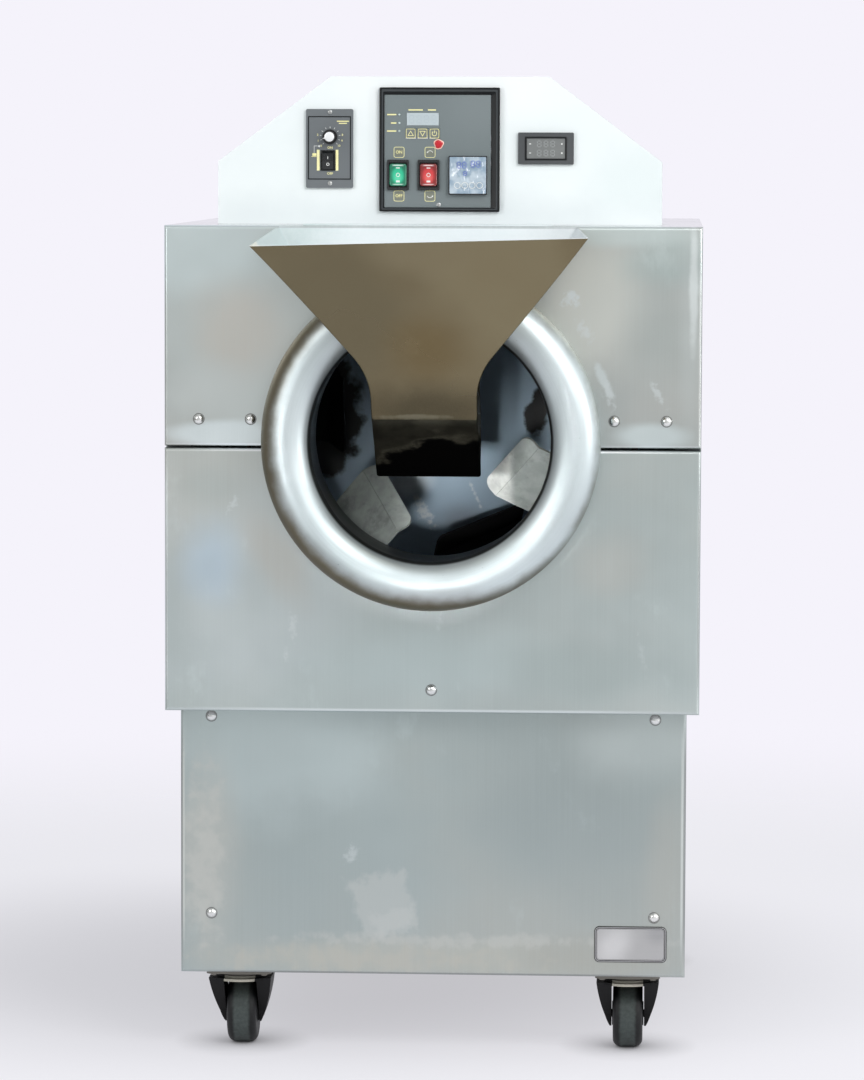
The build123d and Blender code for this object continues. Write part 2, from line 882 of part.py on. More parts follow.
with BuildPart() as drive_chain:
    wheels = ((0, axis_z, pitch_radius(drum_teeth)), (motor_x, motor_z, pitch_radius(motor_teeth)))
    for side in (-1, 1):
        plate_middle = sprocket_depth + side * (sprocket_wall / 2 + chain_side_gap + chain_plate / 2)
        with BuildSketch(facing_rear(plate_middle - chain_plate / 2)) as band:
            for x, z, radius in wheels:
                with Locations((-x, z)):
                    Circle(radius + chain_height / 2)
            make_hull()
        extrude(amount=chain_plate)
        with BuildSketch(facing_rear(plate_middle - chain_plate)) as room:
            for x, z, radius in wheels:
                with Locations((-x, z)):
                    Circle(radius - chain_height / 2)
            make_hull()
        extrude(amount=2 * chain_plate, mode=Mode.SUBTRACT)
    run_x = motor_x
    run_z = motor_z - axis_z
    span = hypot(run_x, run_z)
    lean = asin((wheels[0][2] - wheels[1][2]) / span)
    heading = atan2(run_z, run_x)
    run_length = span * cos(lean)
    pin_step = (run_length - 2 * chain_pin_margin) / (chain_pin_count - 1)
    chain_total = sprocket_wall + 2 * (chain_side_gap + chain_plate)
    for side in (-1, 1):
        normal_turn = heading + side * (pi / 2 - lean)
        run_turn = normal_turn - side * pi / 2
        with BuildSketch(facing_front(sprocket_depth + chain_total / 2)):
            for number in range(chain_pin_count):
                along = chain_pin_margin + number * pin_step
                with Locations((
                    wheels[0][2] * cos(normal_turn) + along * cos(run_turn),
                    axis_z + wheels[0][2] * sin(normal_turn) + along * sin(run_turn),
                )):
                    Circle(chain_pin_radius)
        extrude(amount=chain_total)
keep(drive_chain, "drive_chain")

# Support rollers under the neck
roller_circle = neck_radius + roller_gap + roller_radius
roller_x = roller_circle * sin(radians(roller_spread))
roller_z = axis_z - roller_circle * cos(radians(roller_spread))
bracket_near = roller_setback - bracket_side_gap - bracket_wall
bracket_far = roller_setback + roller_width + bracket_side_gap + bracket_wall
for side, node in ((-1, "support_roller_left"), (1, "support_roller_right")):
    with BuildPart() as support_roller:
        with BuildSketch(facing_rear(roller_setback, x=side * roller_x, z=roller_z)):
            Circle(roller_radius)
            Circle(roller_pin_radius + run_clearance, mode=Mode.SUBTRACT)
        extrude(amount=roller_width)
    keep(support_roller, node)

with BuildPart() as roller_brackets:
    for side in (-1, 1):
        x = side * roller_x
        for near in (bracket_near, bracket_far - bracket_wall):
            block(
                bracket_width, near, near + bracket_wall,
                deck_top + angle_wall, roller_z + bracket_overrun, x=x,
            )
        block(
            bracket_width, bracket_near, bracket_far, deck_top, deck_top + angle_wall, x=x,
        )
        with BuildSketch(facing_rear(bracket_near, x=x, z=roller_z)):
            Circle(roller_pin_radius)
        extrude(amount=bracket_far - bracket_near)
keep(roller_brackets, "roller_brackets")

# Feed hopper: the same outline drawn twice, the second time drawn in by the sheet
hopper_back_z = body_top - sheet
hopper_front_z = body_top - hopper_front_drop
flare = tan(radians(hopper_flare))
front_knee = hopper_front_z - (hopper_front_width - chute_width) / 2 / flare
back_knee = hopper_back_z - (hopper_back_width - chute_width) / 2 / flare
fold_z = axis_z + fold_above_axis
chute_end_z = axis_z - chute_drop
chute_slope = (fold_z - chute_end_z) / (fold_reach + chute_reach)
chute_rise = chute_height * hypot(1, chute_slope)


def extended(start, finish, lap):
    """Point past finish on the line from start."""
    length = hypot(finish[0] - start[0], finish[1] - start[1])
    share = 1 + lap / length
    return (start[0] + share * (finish[0] - start[0]), start[1] + share * (finish[1] - start[1]))


def hopper_profile(lap):
    """Corners of the hopper seen from the side, with its two open ends lapped out.

    The back wall leaves the body's edge on a line that just clears the collar, then drops straight.
    """
    clear = collar_tube_radius + hopper_collar_gap
    back_top = (-hopper_back_gap, hopper_back_z)
    to_collar = (collar_depth - back_top[0], axis_z + collar_radius - back_top[1])
    steep = atan2(-to_collar[0], -to_collar[1]) + asin(clear / hypot(*to_collar))
    wall_depth = collar_depth - clear
    knee = (wall_depth, back_top[1] - (back_top[0] - wall_depth) / tan(steep))
    front_top = (-hopper_reach, hopper_front_z)
    fold = (-fold_reach, fold_z)
    chute_low = (chute_reach, chute_end_z)
    chute_high = (chute_reach, chute_end_z + chute_rise)
    chute_start = (wall_depth, chute_high[1] + (chute_reach - wall_depth) * chute_slope)
    return [
        extended(fold, front_top, lap), fold, extended(fold, chute_low, lap),
        extended(chute_start, chute_high, lap), chute_start, knee, extended(knee, back_top, lap),
    ]


def hopper_room(wall, lap):
    """Returns the hopper's outline as a solid, drawn in by a wall, with its two ends lapped out."""
    with BuildPart() as room:
        for depth in (-hopper_reach - flange, chute_reach + flange):
            knee = back_knee + (back_knee - front_knee) * depth / hopper_reach
            top = body_top + hopper_reach / 4
            top_half = chute_width / 2 + (top - knee) * flare
            bottom = axis_z - 2 * chute_drop
            with BuildSketch(facing_front(depth, x=hopper_shift)) as outline:
                Polygon(
                    (-top_half, top), (-chute_width / 2, knee), (-chute_width / 2, bottom),
                    (chute_width / 2, bottom), (chute_width / 2, knee), (top_half, top),
                    align=None,
                )
                fillet(outline.vertices().sort_by(Axis.Y)[2:4], radius=hopper_neck_round)
                if wall:
                    offset(amount=-wall)
        loft(ruled=True)
        with BuildSketch(seen_from_side(x=hopper_shift)):
            Polygon(*hopper_profile(lap), align=None)
            if wall:
                offset(amount=-wall, kind=Kind.INTERSECTION)
        extrude(amount=hopper_front_width, both=True, mode=Mode.INTERSECT)
    return room.part


hopper_outside = hopper_room(0, 0)
hopper_inside = hopper_room(sheet, flange)
with BuildPart() as hopper:
    add(hopper_outside)
    add(hopper_inside, mode=Mode.SUBTRACT)
    block(
        hook_width, -hopper_back_gap - sheet, hook_front + sheet, hook_low, hook_low + sheet,
        x=hopper_shift,
    )
    block(hook_width, hook_front, hook_front + sheet, hook_low - hook_lip, hook_low, x=hopper_shift)
    block(
        hook_width, -hopper_back_gap - sheet, -hopper_back_gap, hopper_back_z - 2 * sheet, hook_low,
        x=hopper_shift,
    )
keep(hopper, "hopper")

# Control box
box_top = body_top + box_height
tray_z = body_top + tray_centre_height
opening_width = tray_width - tray_border_left - tray_border_right
opening_height = tray_height - tray_border_top - tray_border_bottom
opening_x = (tray_border_left - tray_border_right) / 2
opening_z = tray_z + (tray_border_bottom - tray_border_top) / 2
tray_body_width = opening_width + 2 * tray_wall
tray_body_height = opening_height + 2 * tray_wall
speed_body_width = speed_width - 2 * speed_body_margin
speed_body_height = speed_height - 2 * speed_body_margin
meter_body_width = meter_width - 2 * meter_body_margin
meter_body_height = meter_height - 2 * meter_body_margin


def box_outline():
    """Adds the control box's outline, with its two sloping shoulders, to a sketch."""
    Polygon(
        (-box_width / 2, body_top), (box_width / 2, body_top),
        (box_width / 2, body_top + box_shoulder), (box_top_width / 2, box_top),
        (-box_top_width / 2, box_top), (-box_width / 2, body_top + box_shoulder),
        align=None,
    )


def pad(width, height, depth, length, x, z, mode=Mode.ADD):
    """Adds a rectangle on a plane that faces the front; a negative length grows rearwards."""
    with BuildSketch(facing_front(depth)) as rectangle:
        with Locations((x, z)):
            Rectangle(width, height)
    extrude(rectangle.sketch, amount=length, mode=mode)


with BuildPart() as control_box_shell:
    with BuildSketch(facing_front(box_setback + box_depth)):
        box_outline()
    extrude(amount=box_depth)
    open_faces = [faces().sort_by(Axis.Y)[-1], faces().sort_by(Axis.Z)[0]]
    offset(amount=-sheet, openings=open_faces)
    for width, height, x, z in (
        (tray_body_width, tray_body_height, opening_x, opening_z),
        (speed_body_width, speed_body_height, speed_x, body_top + speed_z),
        (meter_body_width, meter_body_height, meter_x, body_top + meter_z),
    ):
        pad(width + 2 * seat_gap, height + 2 * seat_gap, box_setback, -2 * sheet, x, z, Mode.SUBTRACT)
keep(control_box_shell, "control_box_shell")

with BuildPart() as control_box_rear_cover:
    with BuildSketch(facing_rear(box_setback + box_depth)):
        box_outline()
    extrude(amount=sheet)
    vent_slots(box_setback + box_depth + sheet, body_top + box_height / 2, box_vent_rows)
keep(control_box_rear_cover, "control_box_rear_cover")

# Control tray and plate
with BuildPart() as panel_tray:
    pad(tray_width, tray_height, box_setback, tray_proud, 0, tray_z)
    fillet(edges().filter_by(Axis.Y), radius=bezel_round)
    pad(tray_body_width, tray_body_height, box_setback, -tray_body_depth, opening_x, opening_z)
    pad(
        opening_width, opening_height, box_setback - tray_proud, -tray_recess - control_plate_wall,
        opening_x, opening_z, Mode.SUBTRACT,
    )
    pad(
        opening_width - 2 * tray_ledge, opening_height - 2 * tray_ledge,
        box_setback - tray_proud, -tray_proud - tray_body_depth,
        opening_x, opening_z, Mode.SUBTRACT,
    )
keep(panel_tray, "panel_tray")

key_places = [(key_x + number * key_spacing, body_top + key_z) for number in (-1, 0, 1)]


def switch_size(width, height):
    """Width and height of the opening in which a rocker of this size can tilt."""
    tilt = radians(rocker_tilt)
    tall = height * cos(tilt) + 2 * rocker_reach * sin(tilt)
    return width + 2 * rocker_gap, tall + 2 * rocker_gap


def switch_box(front, width, height, x, z):
    """Adds the box behind a rocker's opening, with the cavity in which the rocker tilts on its pins."""
    open_width, open_height = switch_size(width, height)
    pad(open_width + 2 * switch_wall, open_height + 2 * switch_wall, front, -switch_depth, x, z)


def switch_cavity_cut(front, proud, width, height, x, z):
    """Cuts a rocker's opening, its cavity and the holes for its pins."""
    open_width, open_height = switch_size(width, height)
    pad(open_width, open_height, front - proud, -proud - switch_cavity, x, z, Mode.SUBTRACT)
    with BuildSketch(seen_from_side(x=x, depth=front + rocker_pivot_depth, z=z)) as pin_hole:
        Circle(rocker_pin_radius + run_clearance)
    grip = width / 2 + rocker_gap + rocker_pin_grip + rocker_gap / 2
    extrude(pin_hole.sketch, amount=grip, both=True, mode=Mode.SUBTRACT)


def rocker(front, width, height, x, z, tilt=0):
    """Adds a rocker: a dished cap that tilts on a pin, drawn tilted with its lower end pressed in."""
    pivot = seen_from_side(x=x, depth=front + rocker_pivot_depth, z=z).rotated((tilt, 0, 0))
    half = height / 2
    with BuildSketch(pivot) as cap:
        Polygon(
            (-rocker_reach, half), (rocker_dish - rocker_reach, 0), (-rocker_reach, -half),
            (rocker_back, -half * rocker_back_share), (rocker_back, half * rocker_back_share),
            align=None,
        )
    extrude(cap.sketch, amount=width / 2, both=True)
    with BuildSketch(pivot) as pin:
        Circle(rocker_pin_radius)
    extrude(pin.sketch, amount=width / 2 + rocker_gap + rocker_pin_grip, both=True)


plate_rockers = ((power_rocker_x, body_top + rocker_z), (direction_rocker_x, body_top + rocker_z))
with BuildPart() as control_plate:
    pad(
        opening_width - 2 * seat_gap, opening_height - 2 * seat_gap, plate_front, -control_plate_wall,
        opening_x, opening_z,
    )
    pad(
        display_width + 2 * seat_gap, display_height + 2 * seat_gap, plate_front, -control_plate_wall,
        display_x, body_top + display_z, Mode.SUBTRACT,
    )
    key_hole = key_size + 2 * key_gap
    for x, z in key_places:
        pad(key_hole, key_hole, plate_front, -control_plate_wall, x, z, Mode.SUBTRACT)
    slot_width, slot_height = (
        size + 2 * switch_wall + 2 * seat_gap for size in switch_size(rocker_width, rocker_height)
    )
    for x, z in plate_rockers:
        pad(slot_width, slot_height, plate_front, -control_plate_wall, x, z, Mode.SUBTRACT)
    pad(
        controller_body + 2 * seat_gap, controller_body + 2 * seat_gap, plate_front, -control_plate_wall,
        controller_x, body_top + controller_z, Mode.SUBTRACT,
    )
keep(control_plate, "control_plate")

with BuildPart() as display_window:
    pad(
        display_width, display_height, plate_front - display_proud, -display_proud - control_plate_wall,
        display_x, body_top + display_z,
    )
keep(display_window, "display_window")

for (x, z), node in zip(key_places, ("key_up", "key_down", "key_power")):
    with BuildPart() as key:
        pad(key_size, key_size, plate_front - key_proud, -key_proud - key_back, x, z)
        fillet(edges().filter_by(Axis.Y), radius=key_round)
    keep(key, node)

with BuildPart() as switch_bezels:
    for x, z in plate_rockers:
        pad(bezel_width, bezel_height, plate_front, bezel_proud, x, z)
    fillet(edges().filter_by(Axis.Y), radius=bezel_round)
    for x, z in plate_rockers:
        switch_box(plate_front, rocker_width, rocker_height, x, z)
    for x, z in plate_rockers:
        switch_cavity_cut(plate_front, bezel_proud, rocker_width, rocker_height, x, z)
keep(switch_bezels, "switch_bezels")

for (x, z), node in zip(plate_rockers, ("power_rocker", "direction_rocker")):
    with BuildPart() as plate_rocker:
        rocker(plate_front, rocker_width, rocker_height, x, z)
    keep(plate_rocker, node)

with BuildPart() as temp_controller:
    controller_place = (controller_x, body_top + controller_z)
    pad(controller_size, controller_size, plate_front, controller_proud, *controller_place)
    fillet(edges().filter_by(Axis.Y), radius=bezel_round)
    pad(controller_body, controller_body, plate_front, -controller_body_depth, *controller_place)
keep(temp_controller, "temp_controller")

# Speed controller
speed_front = box_setback - speed_proud
speed_place = (speed_x, body_top + speed_z)
speed_rocker_place = (speed_rocker_x, body_top + speed_rocker_z)
with BuildPart() as speed_case:
    pad(speed_width, speed_height, box_setback, speed_proud, *speed_place)
    fillet(edges().filter_by(Axis.Y), radius=speed_corner)
    pad(speed_body_width, speed_body_height, box_setback, -speed_body_depth, *speed_place)
    switch_cavity_cut(speed_front, 0, speed_rocker_width, speed_rocker_height, *speed_rocker_place)
    with BuildSketch(facing_front(speed_front)):
        with Locations((knob_x, body_top + knob_z)):
            Circle(knob_shaft_radius + run_clearance)
    extrude(amount=-knob_shaft_length - knob_gap, mode=Mode.SUBTRACT)
keep(speed_case, "speed_case")

with BuildPart() as speed_rocker:
    rocker(speed_front, speed_rocker_width, speed_rocker_height, *speed_rocker_place, tilt=rocker_tilt)
keep(speed_rocker, "speed_rocker")

with BuildPart() as speed_knob:
    knob_place = facing_front(speed_front - knob_gap, x=knob_x, z=body_top + knob_z)
    with BuildSketch(knob_place):
        Circle(knob_skirt_radius)
    extrude(amount=knob_skirt_height)
    with BuildSketch(knob_place):
        Circle(knob_radius)
    extrude(amount=knob_height)
    fillet(faces().sort_by(Axis.Y)[0].edges(), radius=knob_pointer_rise)
    with BuildSketch(knob_place.offset(knob_height)):
        with PolarLocations(knob_radius / 2, 1, start_angle=knob_pointer_angle):
            Rectangle(knob_pointer_length, knob_pointer_width)
    extrude(amount=knob_pointer_rise)
    with BuildSketch(knob_place):
        Circle(knob_shaft_radius)
    extrude(amount=-knob_shaft_length)
keep(speed_knob, "speed_knob")

# Panel meter
meter_place = (meter_x, body_top + meter_z)
meter_front = box_setback - meter_proud
with BuildPart() as meter_bezel:
    pad(meter_width, meter_height, box_setback, meter_proud, *meter_place)
    fillet(edges().filter_by(Axis.Y), radius=bezel_round)
    pad(meter_body_width, meter_body_height, box_setback, -meter_body_depth, *meter_place)
    pad(
        meter_screen_width, meter_screen_height, meter_front, -meter_screen_sink - meter_screen_wall,
        *meter_place, Mode.SUBTRACT,
    )
keep(meter_bezel, "meter_bezel")

with BuildPart() as meter_screen:
    pad(
        meter_screen_width, meter_screen_height, meter_front + meter_screen_sink, -meter_screen_wall,
        *meter_place,
    )
keep(meter_screen, "meter_screen")

# Casters
caster_x = base_width / 2 - caster_inset
caster_front = base_setback + caster_front_inset
caster_rear = base_rear - caster_front_inset
casters = {
    "front_left": (-caster_x, caster_front),
    "front_right": (caster_x, caster_front),
    "rear_left": (-caster_x, caster_rear),
    "rear_right": (caster_x, caster_rear),
}
fork_inner = wheel_hub_width / 2 + fork_clearance
fork_outer = fork_inner + fork_wall
axle_reach = fork_outer + run_clearance
axle_z = wheel_radius

with BuildPart() as caster_plates:
    for x, depth in casters.values():
        with BuildSketch(lying_at(base_bottom, x=x, depth=depth)):
            RectangleRounded(caster_plate_width, caster_plate_depth, caster_plate_corner)
        extrude(amount=-caster_plate)
        with BuildSketch(lying_at(plate_bottom, x=x, depth=depth)):
            Circle(caster_race_radius)
        extrude(amount=-caster_race)
        with BuildSketch(lying_at(base_bottom, x=x, depth=depth)):
            Circle(kingpin_radius + run_clearance)
        extrude(amount=-caster_plate - caster_race, mode=Mode.SUBTRACT)
keep(caster_plates, "caster_plates")


def fork_legs(x, depth, wall):
    """Returns the two bowed legs as solids, drawn in by a wall.

    Seen from the front a leg is a wedge: upright beside the wheel, bowed on its outside, widest at the crown.
    Seen from the side it narrows from the crown to a round end about the axle.
    """
    tip_z = axle_z - fork_tip_radius
    tip_outer = fork_inner + fork_tip_wall
    bow = ((fork_crown_radius + tip_outer) / 2 + fork_bulge, (crown_top + tip_z) / 2)
    with BuildPart() as legs:
        for side in (-1, 1):
            start = facing_front(depth + 2 * fork_crown_radius, x=x - side * wall, z=-wall)
            with BuildSketch(start) as wedge:
                with BuildLine():
                    ThreePointArc(
                        (side * fork_crown_radius, crown_top), (side * bow[0], bow[1]),
                        (side * tip_outer, tip_z),
                    )
                    Polyline(
                        (side * tip_outer, tip_z), (side * fork_inner, tip_z),
                        (side * fork_inner, crown_top), (side * fork_crown_radius, crown_top),
                    )
                make_face()
            extrude(wedge.sketch, amount=4 * fork_crown_radius)
        with BuildSketch(seen_from_side(x=x, depth=depth)) as side_view:
            with Locations((caster_trail, axle_z)):
                Circle(fork_tip_radius)
            Polygon(
                (-fork_front_reach, crown_top), (caster_trail - fork_tip_radius, axle_z),
                (caster_trail + fork_tip_radius, axle_z), (fork_rear_reach, crown_top),
                align=None,
            )
            if wall:
                offset(amount=-wall)
        extrude(side_view.sketch, amount=2 * fork_crown_radius, both=True, mode=Mode.INTERSECT)
    return legs.part


for corner, (x, depth) in casters.items():
    axle_depth = depth + caster_trail
    with BuildPart() as caster_fork:
        solid_legs = fork_legs(x, depth, 0)
        with BuildSketch(seen_from_side(x=x, depth=axle_depth, z=axle_z)):
            Circle(fork_boss_radius)
        extrude(amount=fork_crown_radius, both=True)
        add(solid_legs, mode=Mode.INTERSECT)
        boss = caster_fork.part
        add(solid_legs)
        add(fork_legs(x, depth, fork_wall), mode=Mode.SUBTRACT)
        add(boss)
        with BuildSketch(lying_at(crown_bottom, x=x, depth=depth)):
            Circle(fork_crown_radius)
        extrude(amount=fork_wall)
        with BuildSketch(lying_at(crown_top, x=x, depth=depth)):
            Circle(fork_race_radius)
        extrude(amount=fork_race)
        with BuildSketch(lying_at(fork_race_top, x=x, depth=depth)):
            Circle(kingpin_radius)
        extrude(amount=base_bottom - kingpin_top_gap - fork_race_top)
        with BuildSketch(seen_from_side(x=x, depth=axle_depth, z=axle_z)):
            Circle(axle_radius + run_clearance)
        extrude(amount=fork_outer + run_clearance, both=True, mode=Mode.SUBTRACT)
        for side in (-1, 1):
            with BuildSketch(seen_from_side(x=x + side * fork_outer, depth=axle_depth, z=axle_z)):
                Circle(axle_head_radius + axle_recess)
            extrude(amount=side * fork_crown_radius, mode=Mode.SUBTRACT)
        with BuildSketch(seen_from_side(x=x, depth=axle_depth, z=axle_z)):
            Circle(axle_radius)
        extrude(amount=axle_reach, both=True)
        for side in (-1, 1):
            with BuildSketch(seen_from_side(x=x + side * axle_reach, depth=axle_depth, z=axle_z)):
                Circle(axle_head_radius)
            extrude(amount=side * axle_head)
    keep(caster_fork, f"caster_fork_{corner}")

    with BuildPart() as caster_wheel:
        with BuildSketch(seen_from_side(x=x, depth=axle_depth, z=axle_z)):
            Circle(wheel_radius)
        extrude(amount=wheel_width / 2, both=True)
        fillet(edges().filter_by(GeomType.CIRCLE), radius=wheel_shoulder)
        with BuildSketch(seen_from_side(x=x, depth=axle_depth, z=axle_z)):
            Circle(wheel_hub_radius)
        extrude(amount=wheel_hub_width / 2, both=True)
        with BuildSketch(seen_from_side(x=x, depth=axle_depth, z=axle_z)):
            Circle(axle_radius + run_clearance)
        extrude(amount=wheel_hub_width, both=True, mode=Mode.SUBTRACT)
    keep(caster_wheel, f"caster_wheel_{corner}")
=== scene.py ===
"""Looks of a drum roaster for cocoa beans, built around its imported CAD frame."""

import json
import logging
import math
from dataclasses import dataclass
from enum import Enum
from itertools import product

import bmesh
import bpy
import numpy as np
from mathutils import Matrix, Vector


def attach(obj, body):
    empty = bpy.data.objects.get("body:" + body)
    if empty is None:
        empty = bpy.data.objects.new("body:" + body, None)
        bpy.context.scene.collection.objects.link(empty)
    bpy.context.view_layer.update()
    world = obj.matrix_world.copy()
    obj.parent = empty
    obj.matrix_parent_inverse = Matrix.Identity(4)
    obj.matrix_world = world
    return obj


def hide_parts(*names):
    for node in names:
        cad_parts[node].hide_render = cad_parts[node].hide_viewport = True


logging.basicConfig(level=logging.INFO, format="%(message)s")
log = logging.getLogger("roaster")

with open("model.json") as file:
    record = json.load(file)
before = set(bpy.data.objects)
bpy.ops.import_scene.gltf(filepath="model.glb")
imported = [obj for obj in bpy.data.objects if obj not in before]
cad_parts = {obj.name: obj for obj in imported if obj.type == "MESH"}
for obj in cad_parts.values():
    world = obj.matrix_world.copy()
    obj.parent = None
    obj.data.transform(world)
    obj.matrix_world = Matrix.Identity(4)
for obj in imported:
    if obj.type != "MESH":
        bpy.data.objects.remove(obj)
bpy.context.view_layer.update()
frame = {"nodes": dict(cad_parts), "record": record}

Colour = tuple[float, float, float]
Point = tuple[float, float, float]
Spot = tuple[float, float]

# Places that several pieces share, in metres
FRONT_Y = -0.290
BASE_Y = -0.250
BOX_Y = -0.130
PLATE_Y = -0.133
AXIS_Z = 0.762
DRUM_BACK_Y = 0.250
CASTER_X = 0.240
ROCKER_X = (-0.0513, -0.0135)
# Thickness of printed ink
INK = 0.00015
# Places of the two colour inputs and of the colour output among the Mix node's sockets
MIX_INPUTS = (6, 7)
MIX_OUTPUT = 2


class Body(str, Enum):
    """The CAD bodies that new pieces ride on."""

    CABINET = "cabinet"
    DRUM = "drum"
    HOPPER = "feed_hopper"
    POWER = "power_switch_cap"
    DIRECTION = "direction_switch_cap"
    SPEED = "speed_switch_cap"
    DIAL = "speed_dial_knob"
    UP_KEY = "up_key"
    DOWN_KEY = "down_key"
    POWER_KEY = "power_key"


class NodeTree:
    """Adds and joins the nodes of one tree."""

    def __init__(self, tree: bpy.types.NodeTree) -> None:
        """Works on a tree that exists."""
        self.tree = tree

    def add(self, kind: str, **settings: object) -> bpy.types.Node:
        """Adds a node and sets its properties.

        Args:
            kind: the node's Blender type.
            settings: its properties by name.

        Returns:
            The new node.
        """
        node = self.tree.nodes.new(kind)
        for key, value in settings.items():
            setattr(node, key, value)
        return node

    def link(self, source: bpy.types.NodeSocket, target: bpy.types.NodeSocket) -> None:
        """Joins an output to an input."""
        self.tree.links.new(source, target)

    @staticmethod
    def fill(node: bpy.types.Node, **values: object) -> bpy.types.Node:
        """Sets constant inputs of a node.

        Args:
            node: the node.
            values: its inputs by name, with _ for a space.

        Returns:
            The node.
        """
        for key, value in values.items():
            node.inputs[key.replace("_", " ")].default_value = value
        return node

    def span(self, value: bpy.types.NodeSocket, low: float, high: float,
             start: float = 0.0, end: float = 1.0) -> bpy.types.NodeSocket:
        """Maps a value from low..high to start..end, eased at both ends and clamped.

        Args:
            value: the value to map.
            low: input that gives start.
            high: input that gives end.
            start: first output.
            end: last output.

        Returns:
            The mapped value.
        """
        node = self.add("ShaderNodeMapRange", interpolation_type="SMOOTHSTEP")
        self.fill(node, From_Min=low, From_Max=high, To_Min=start, To_Max=end)
        self.link(value, node.inputs["Value"])
        return node.outputs["Result"]

    def math(self, kind: str, first: bpy.types.NodeSocket, second: object) -> bpy.types.NodeSocket:
        """Joins two values, or a value and a number, by one operation.

        Args:
            kind: the operation's Blender name.
            first: first value.
            second: second value, or a number.

        Returns:
            The result.
        """
        node = self.add("ShaderNodeMath", operation=kind)
        self.link(first, node.inputs[0])
        if isinstance(second, (int, float)):
            node.inputs[1].default_value = second
        else:
            self.link(second, node.inputs[1])
        return node.outputs[0]

    def tint(self, share: bpy.types.NodeSocket, first: object, second: object) -> bpy.types.NodeSocket:
        """Mixes two colours, each a colour or a socket, by a share.

        Args:
            share: 0 gives first, 1 gives second.
            first: one colour.
            second: the other colour.

        Returns:
            The mixed colour.
        """
        node = self.add("ShaderNodeMix", data_type="RGBA")
        self.link(share, node.inputs["Factor"])
        for index, colour in zip(MIX_INPUTS, (first, second)):
            if isinstance(colour, tuple):
                node.inputs[index].default_value = (*colour, 1.0)
            else:
                self.link(colour, node.inputs[index])
        return node.outputs[MIX_OUTPUT]

    def blend(self, share: bpy.types.NodeSocket, first: bpy.types.NodeSocket,
              second: bpy.types.NodeSocket) -> bpy.types.NodeSocket:
        """Mixes two shaders by a share.

        Args:
            share: 0 gives first, 1 gives second.
            first: one shader.
            second: the other shader.

        Returns:
            The mixed shader.
        """
        node = self.add("ShaderNodeMixShader")
        for index, source in enumerate((share, first, second)):
            self.link(source, node.inputs[index])
        return node.outputs[0]

    def seen(self) -> bpy.types.NodeSocket:
        """Returns 1 for rays of the camera, of reflections and through clear pieces, else 0."""
        rays = self.add("ShaderNodeLightPath").outputs
        bent = self.math("MAXIMUM", rays["Is Glossy Ray"], rays["Is Transmission Ray"])
        return self.math("MAXIMUM", rays["Is Camera Ray"], bent)


